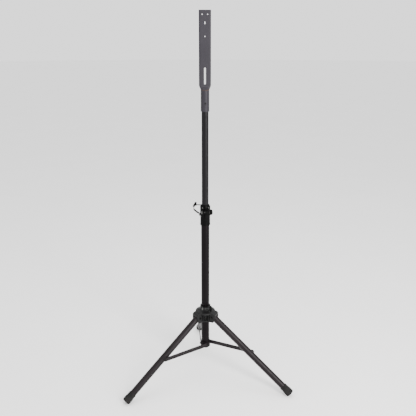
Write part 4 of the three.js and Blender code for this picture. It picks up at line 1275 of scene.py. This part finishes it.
def foot_collar():
    """A collar round the column's foot, with a flat for each strut."""
    low, high = COLLAR_LOW.z, COLLAR_HIGH.z
    inner, face = COLUMN_R + GAP, STRUT_NEAR - GAP
    half, wide, out = COLLAR_PAD_HALF, 30, 40
    body = turned("collar", filleted([(inner, low), (COLLAR_R, low, 2.5), (COLLAR_R, high, 2.5),
                                      (inner, high)], 0.5, 4))
    for index in range(LEG_COUNT):
        turn = about_pole(azimuth(index))
        pad = block((-half, COLUMN_R - 6, low + 3), (half, face, high - 6))
        room = block((-wide, face, low - 1), (wide, PAST, high + 1))
        root = (0, COLUMN_R - 1, STRUT_ROOT_Z)
        drill = rod(STRUT_PIN_R + GAP, root, (0, out, STRUT_ROOT_Z))
        join(body, move(pad, turn))
        cut(body, move(room, turn), move(drill, turn))
    fixing = rod(COLLAR_SCREW_R + GAP, radial(COLLAR_SCREW_TURN, 20, COLLAR_SCREW_Z),
                 radial(COLLAR_SCREW_TURN, out, COLLAR_SCREW_Z))
    cut(body, rod(inner, (0, 0, low - 5), (0, 0, high + 5), 96), fixing)
    settle(crisp(body, 0.35), "foot_collar", "column", COAT, flat=True)


def collar_screw():
    """A grub screw with a hexagon socket, along +Z from the column outwards."""
    inner = COLUMN_R + GAP
    length = COLLAR_R - SCREW_SUNK - inner
    end_r = COLLAR_SCREW_R - 0.5
    thread = threaded(COLLAR_SCREW_R, 0.4, length - 0.3, 0.8)
    screw = turned("screw", [(0, 0), (end_r, 0), *thread, (end_r, length), (0, length)], 32)
    cut(screw, hexagon("socket", 1.4, length - HEX_DEPTH, length + 1, 0))
    place = Matrix.Translation(radial(COLLAR_SCREW_TURN, inner, COLLAR_SCREW_Z))
    settle(screw, "collar_screw", "column", BLACK_STEEL,
           place @ facing(radial(COLLAR_SCREW_TURN, 1, 0)))


# ---------------- the object

mounting_head()
set_screw()
upper_pole()
pole_guide()
column()
column_plug()
clamp_housing()
clamp_liner()
bolt_set("clamp", "column", *CLAMP_EARS, CLAMP_BOLT_Z)
clamp_knob()
clamp_rivets()
locking_pin()
pin_handle()
pin_ring()
lanyard()
lanyard_screw()
hub()
hub_liner()
bolt_set("hub", "hub", -HUB_EAR_HALF, HUB_EAR_HALF, HUB_BOLT_Z)
hub_knob()
foot_collar()
collar_screw()
for leg_index in range(LEG_COUNT):
    side = about_pole(azimuth(leg_index))
    on_pivot = side @ Matrix.Translation((LEG_PIVOT_R, 0, LEG_PIVOT_Z))
    on_leg = on_pivot @ Matrix.Rotation(LEG_DROP, 4, "Y")
    on_strut = (side @ Matrix.Translation((0, 0, STRUT_ROOT_Z))
                @ Matrix.Rotation(-STRUT_LIFT, 4, "Y"))
    leg(leg_index + 1, on_leg)
    strut_boss(leg_index + 1, on_leg)
    foot(leg_index + 1, on_leg)
    strut(leg_index + 1, on_strut)
    strut_rivet(leg_index + 1, on_strut)
    strut_screw(leg_index + 1, on_strut)
    leg_bolt(leg_index + 1, on_pivot)
    leg_nut(leg_index + 1, on_pivot)

# ---------------- floor, light and camera


def floor():
    """A wide, plain, pale floor."""
    bm = bmesh.new()
    bmesh.ops.create_circle(bm, cap_ends=True, radius=40, segments=96)
    ground = mesh_object("floor", bm)
    finish = Finish("pale_floor", 0.85, specular=0.2)
    shade = finish.ramp(finish.noise(1.5, 3), 0.3, 0.7)
    ground.data.materials.append(finish.end(finish.mix(shade, grey(0.92), grey(0.94))))


def lamp(name, at, aim, size, power, color):
    """A rectangular soft lamp, turned towards a point."""
    light = bpy.data.lights.new(name, "AREA")
    light.shape = "RECTANGLE"
    light.size, light.size_y = size
    light.energy = power
    light.color = color
    holder = bpy.data.objects.new(name, light)
    holder.location = at
    holder.rotation_mode = "QUATERNION"
    holder.rotation_quaternion = (Vector(aim) - Vector(at)).to_track_quat("-Z", "Y")
    bpy.context.scene.collection.objects.link(holder)


def sky(color, strength):
    """An even light all round."""
    world = bpy.data.worlds.new("studio")
    world.use_nodes = True
    background = world.node_tree.nodes["Background"]
    background.inputs["Color"].default_value = color
    background.inputs["Strength"].default_value = strength
    bpy.context.scene.world = world


CAMERA_AT = (-0.212, -2.913, 1.8314)
CAMERA_TURN = math.radians(85.36)
CAMERA_PITCH = math.radians(-17.04)
CAMERA_LENS = 49.28


def camera():
    lens = bpy.data.cameras.new("camera")
    lens.sensor_width = 36
    lens.lens = CAMERA_LENS
    lens.clip_end = 200
    holder = bpy.data.objects.new("camera", lens)
    holder.location = CAMERA_AT
    level = math.cos(CAMERA_PITCH)
    look = Vector((math.cos(CAMERA_TURN) * level, math.sin(CAMERA_TURN) * level,
                   math.sin(CAMERA_PITCH)))
    holder.rotation_mode = "QUATERNION"
    holder.rotation_quaternion = look.to_track_quat("-Z", "Y")
    bpy.context.scene.collection.objects.link(holder)
    bpy.context.scene.camera = holder


floor()
middle = (0, AXIS.y, 0.9)
lamp("key", (1.5, -3.2, 2.6), middle, (1.0, 1.6), 190, (1, 0.98, 0.96))
lamp("strip", (2.3, -3.5, 1.35), middle, (0.7, 1.8), 80, (1, 1, 1))
lamp("fill", (-2.8, -1.8, 1.8), middle, (0.8, 2.2), 12, (0.92, 0.95, 1))
lamp("top", (0.3, 0.2, 4.2), middle, (2.4, 2.4), 60, (1, 1, 1))
sky((1, 1, 1, 1), 1.7)
camera()
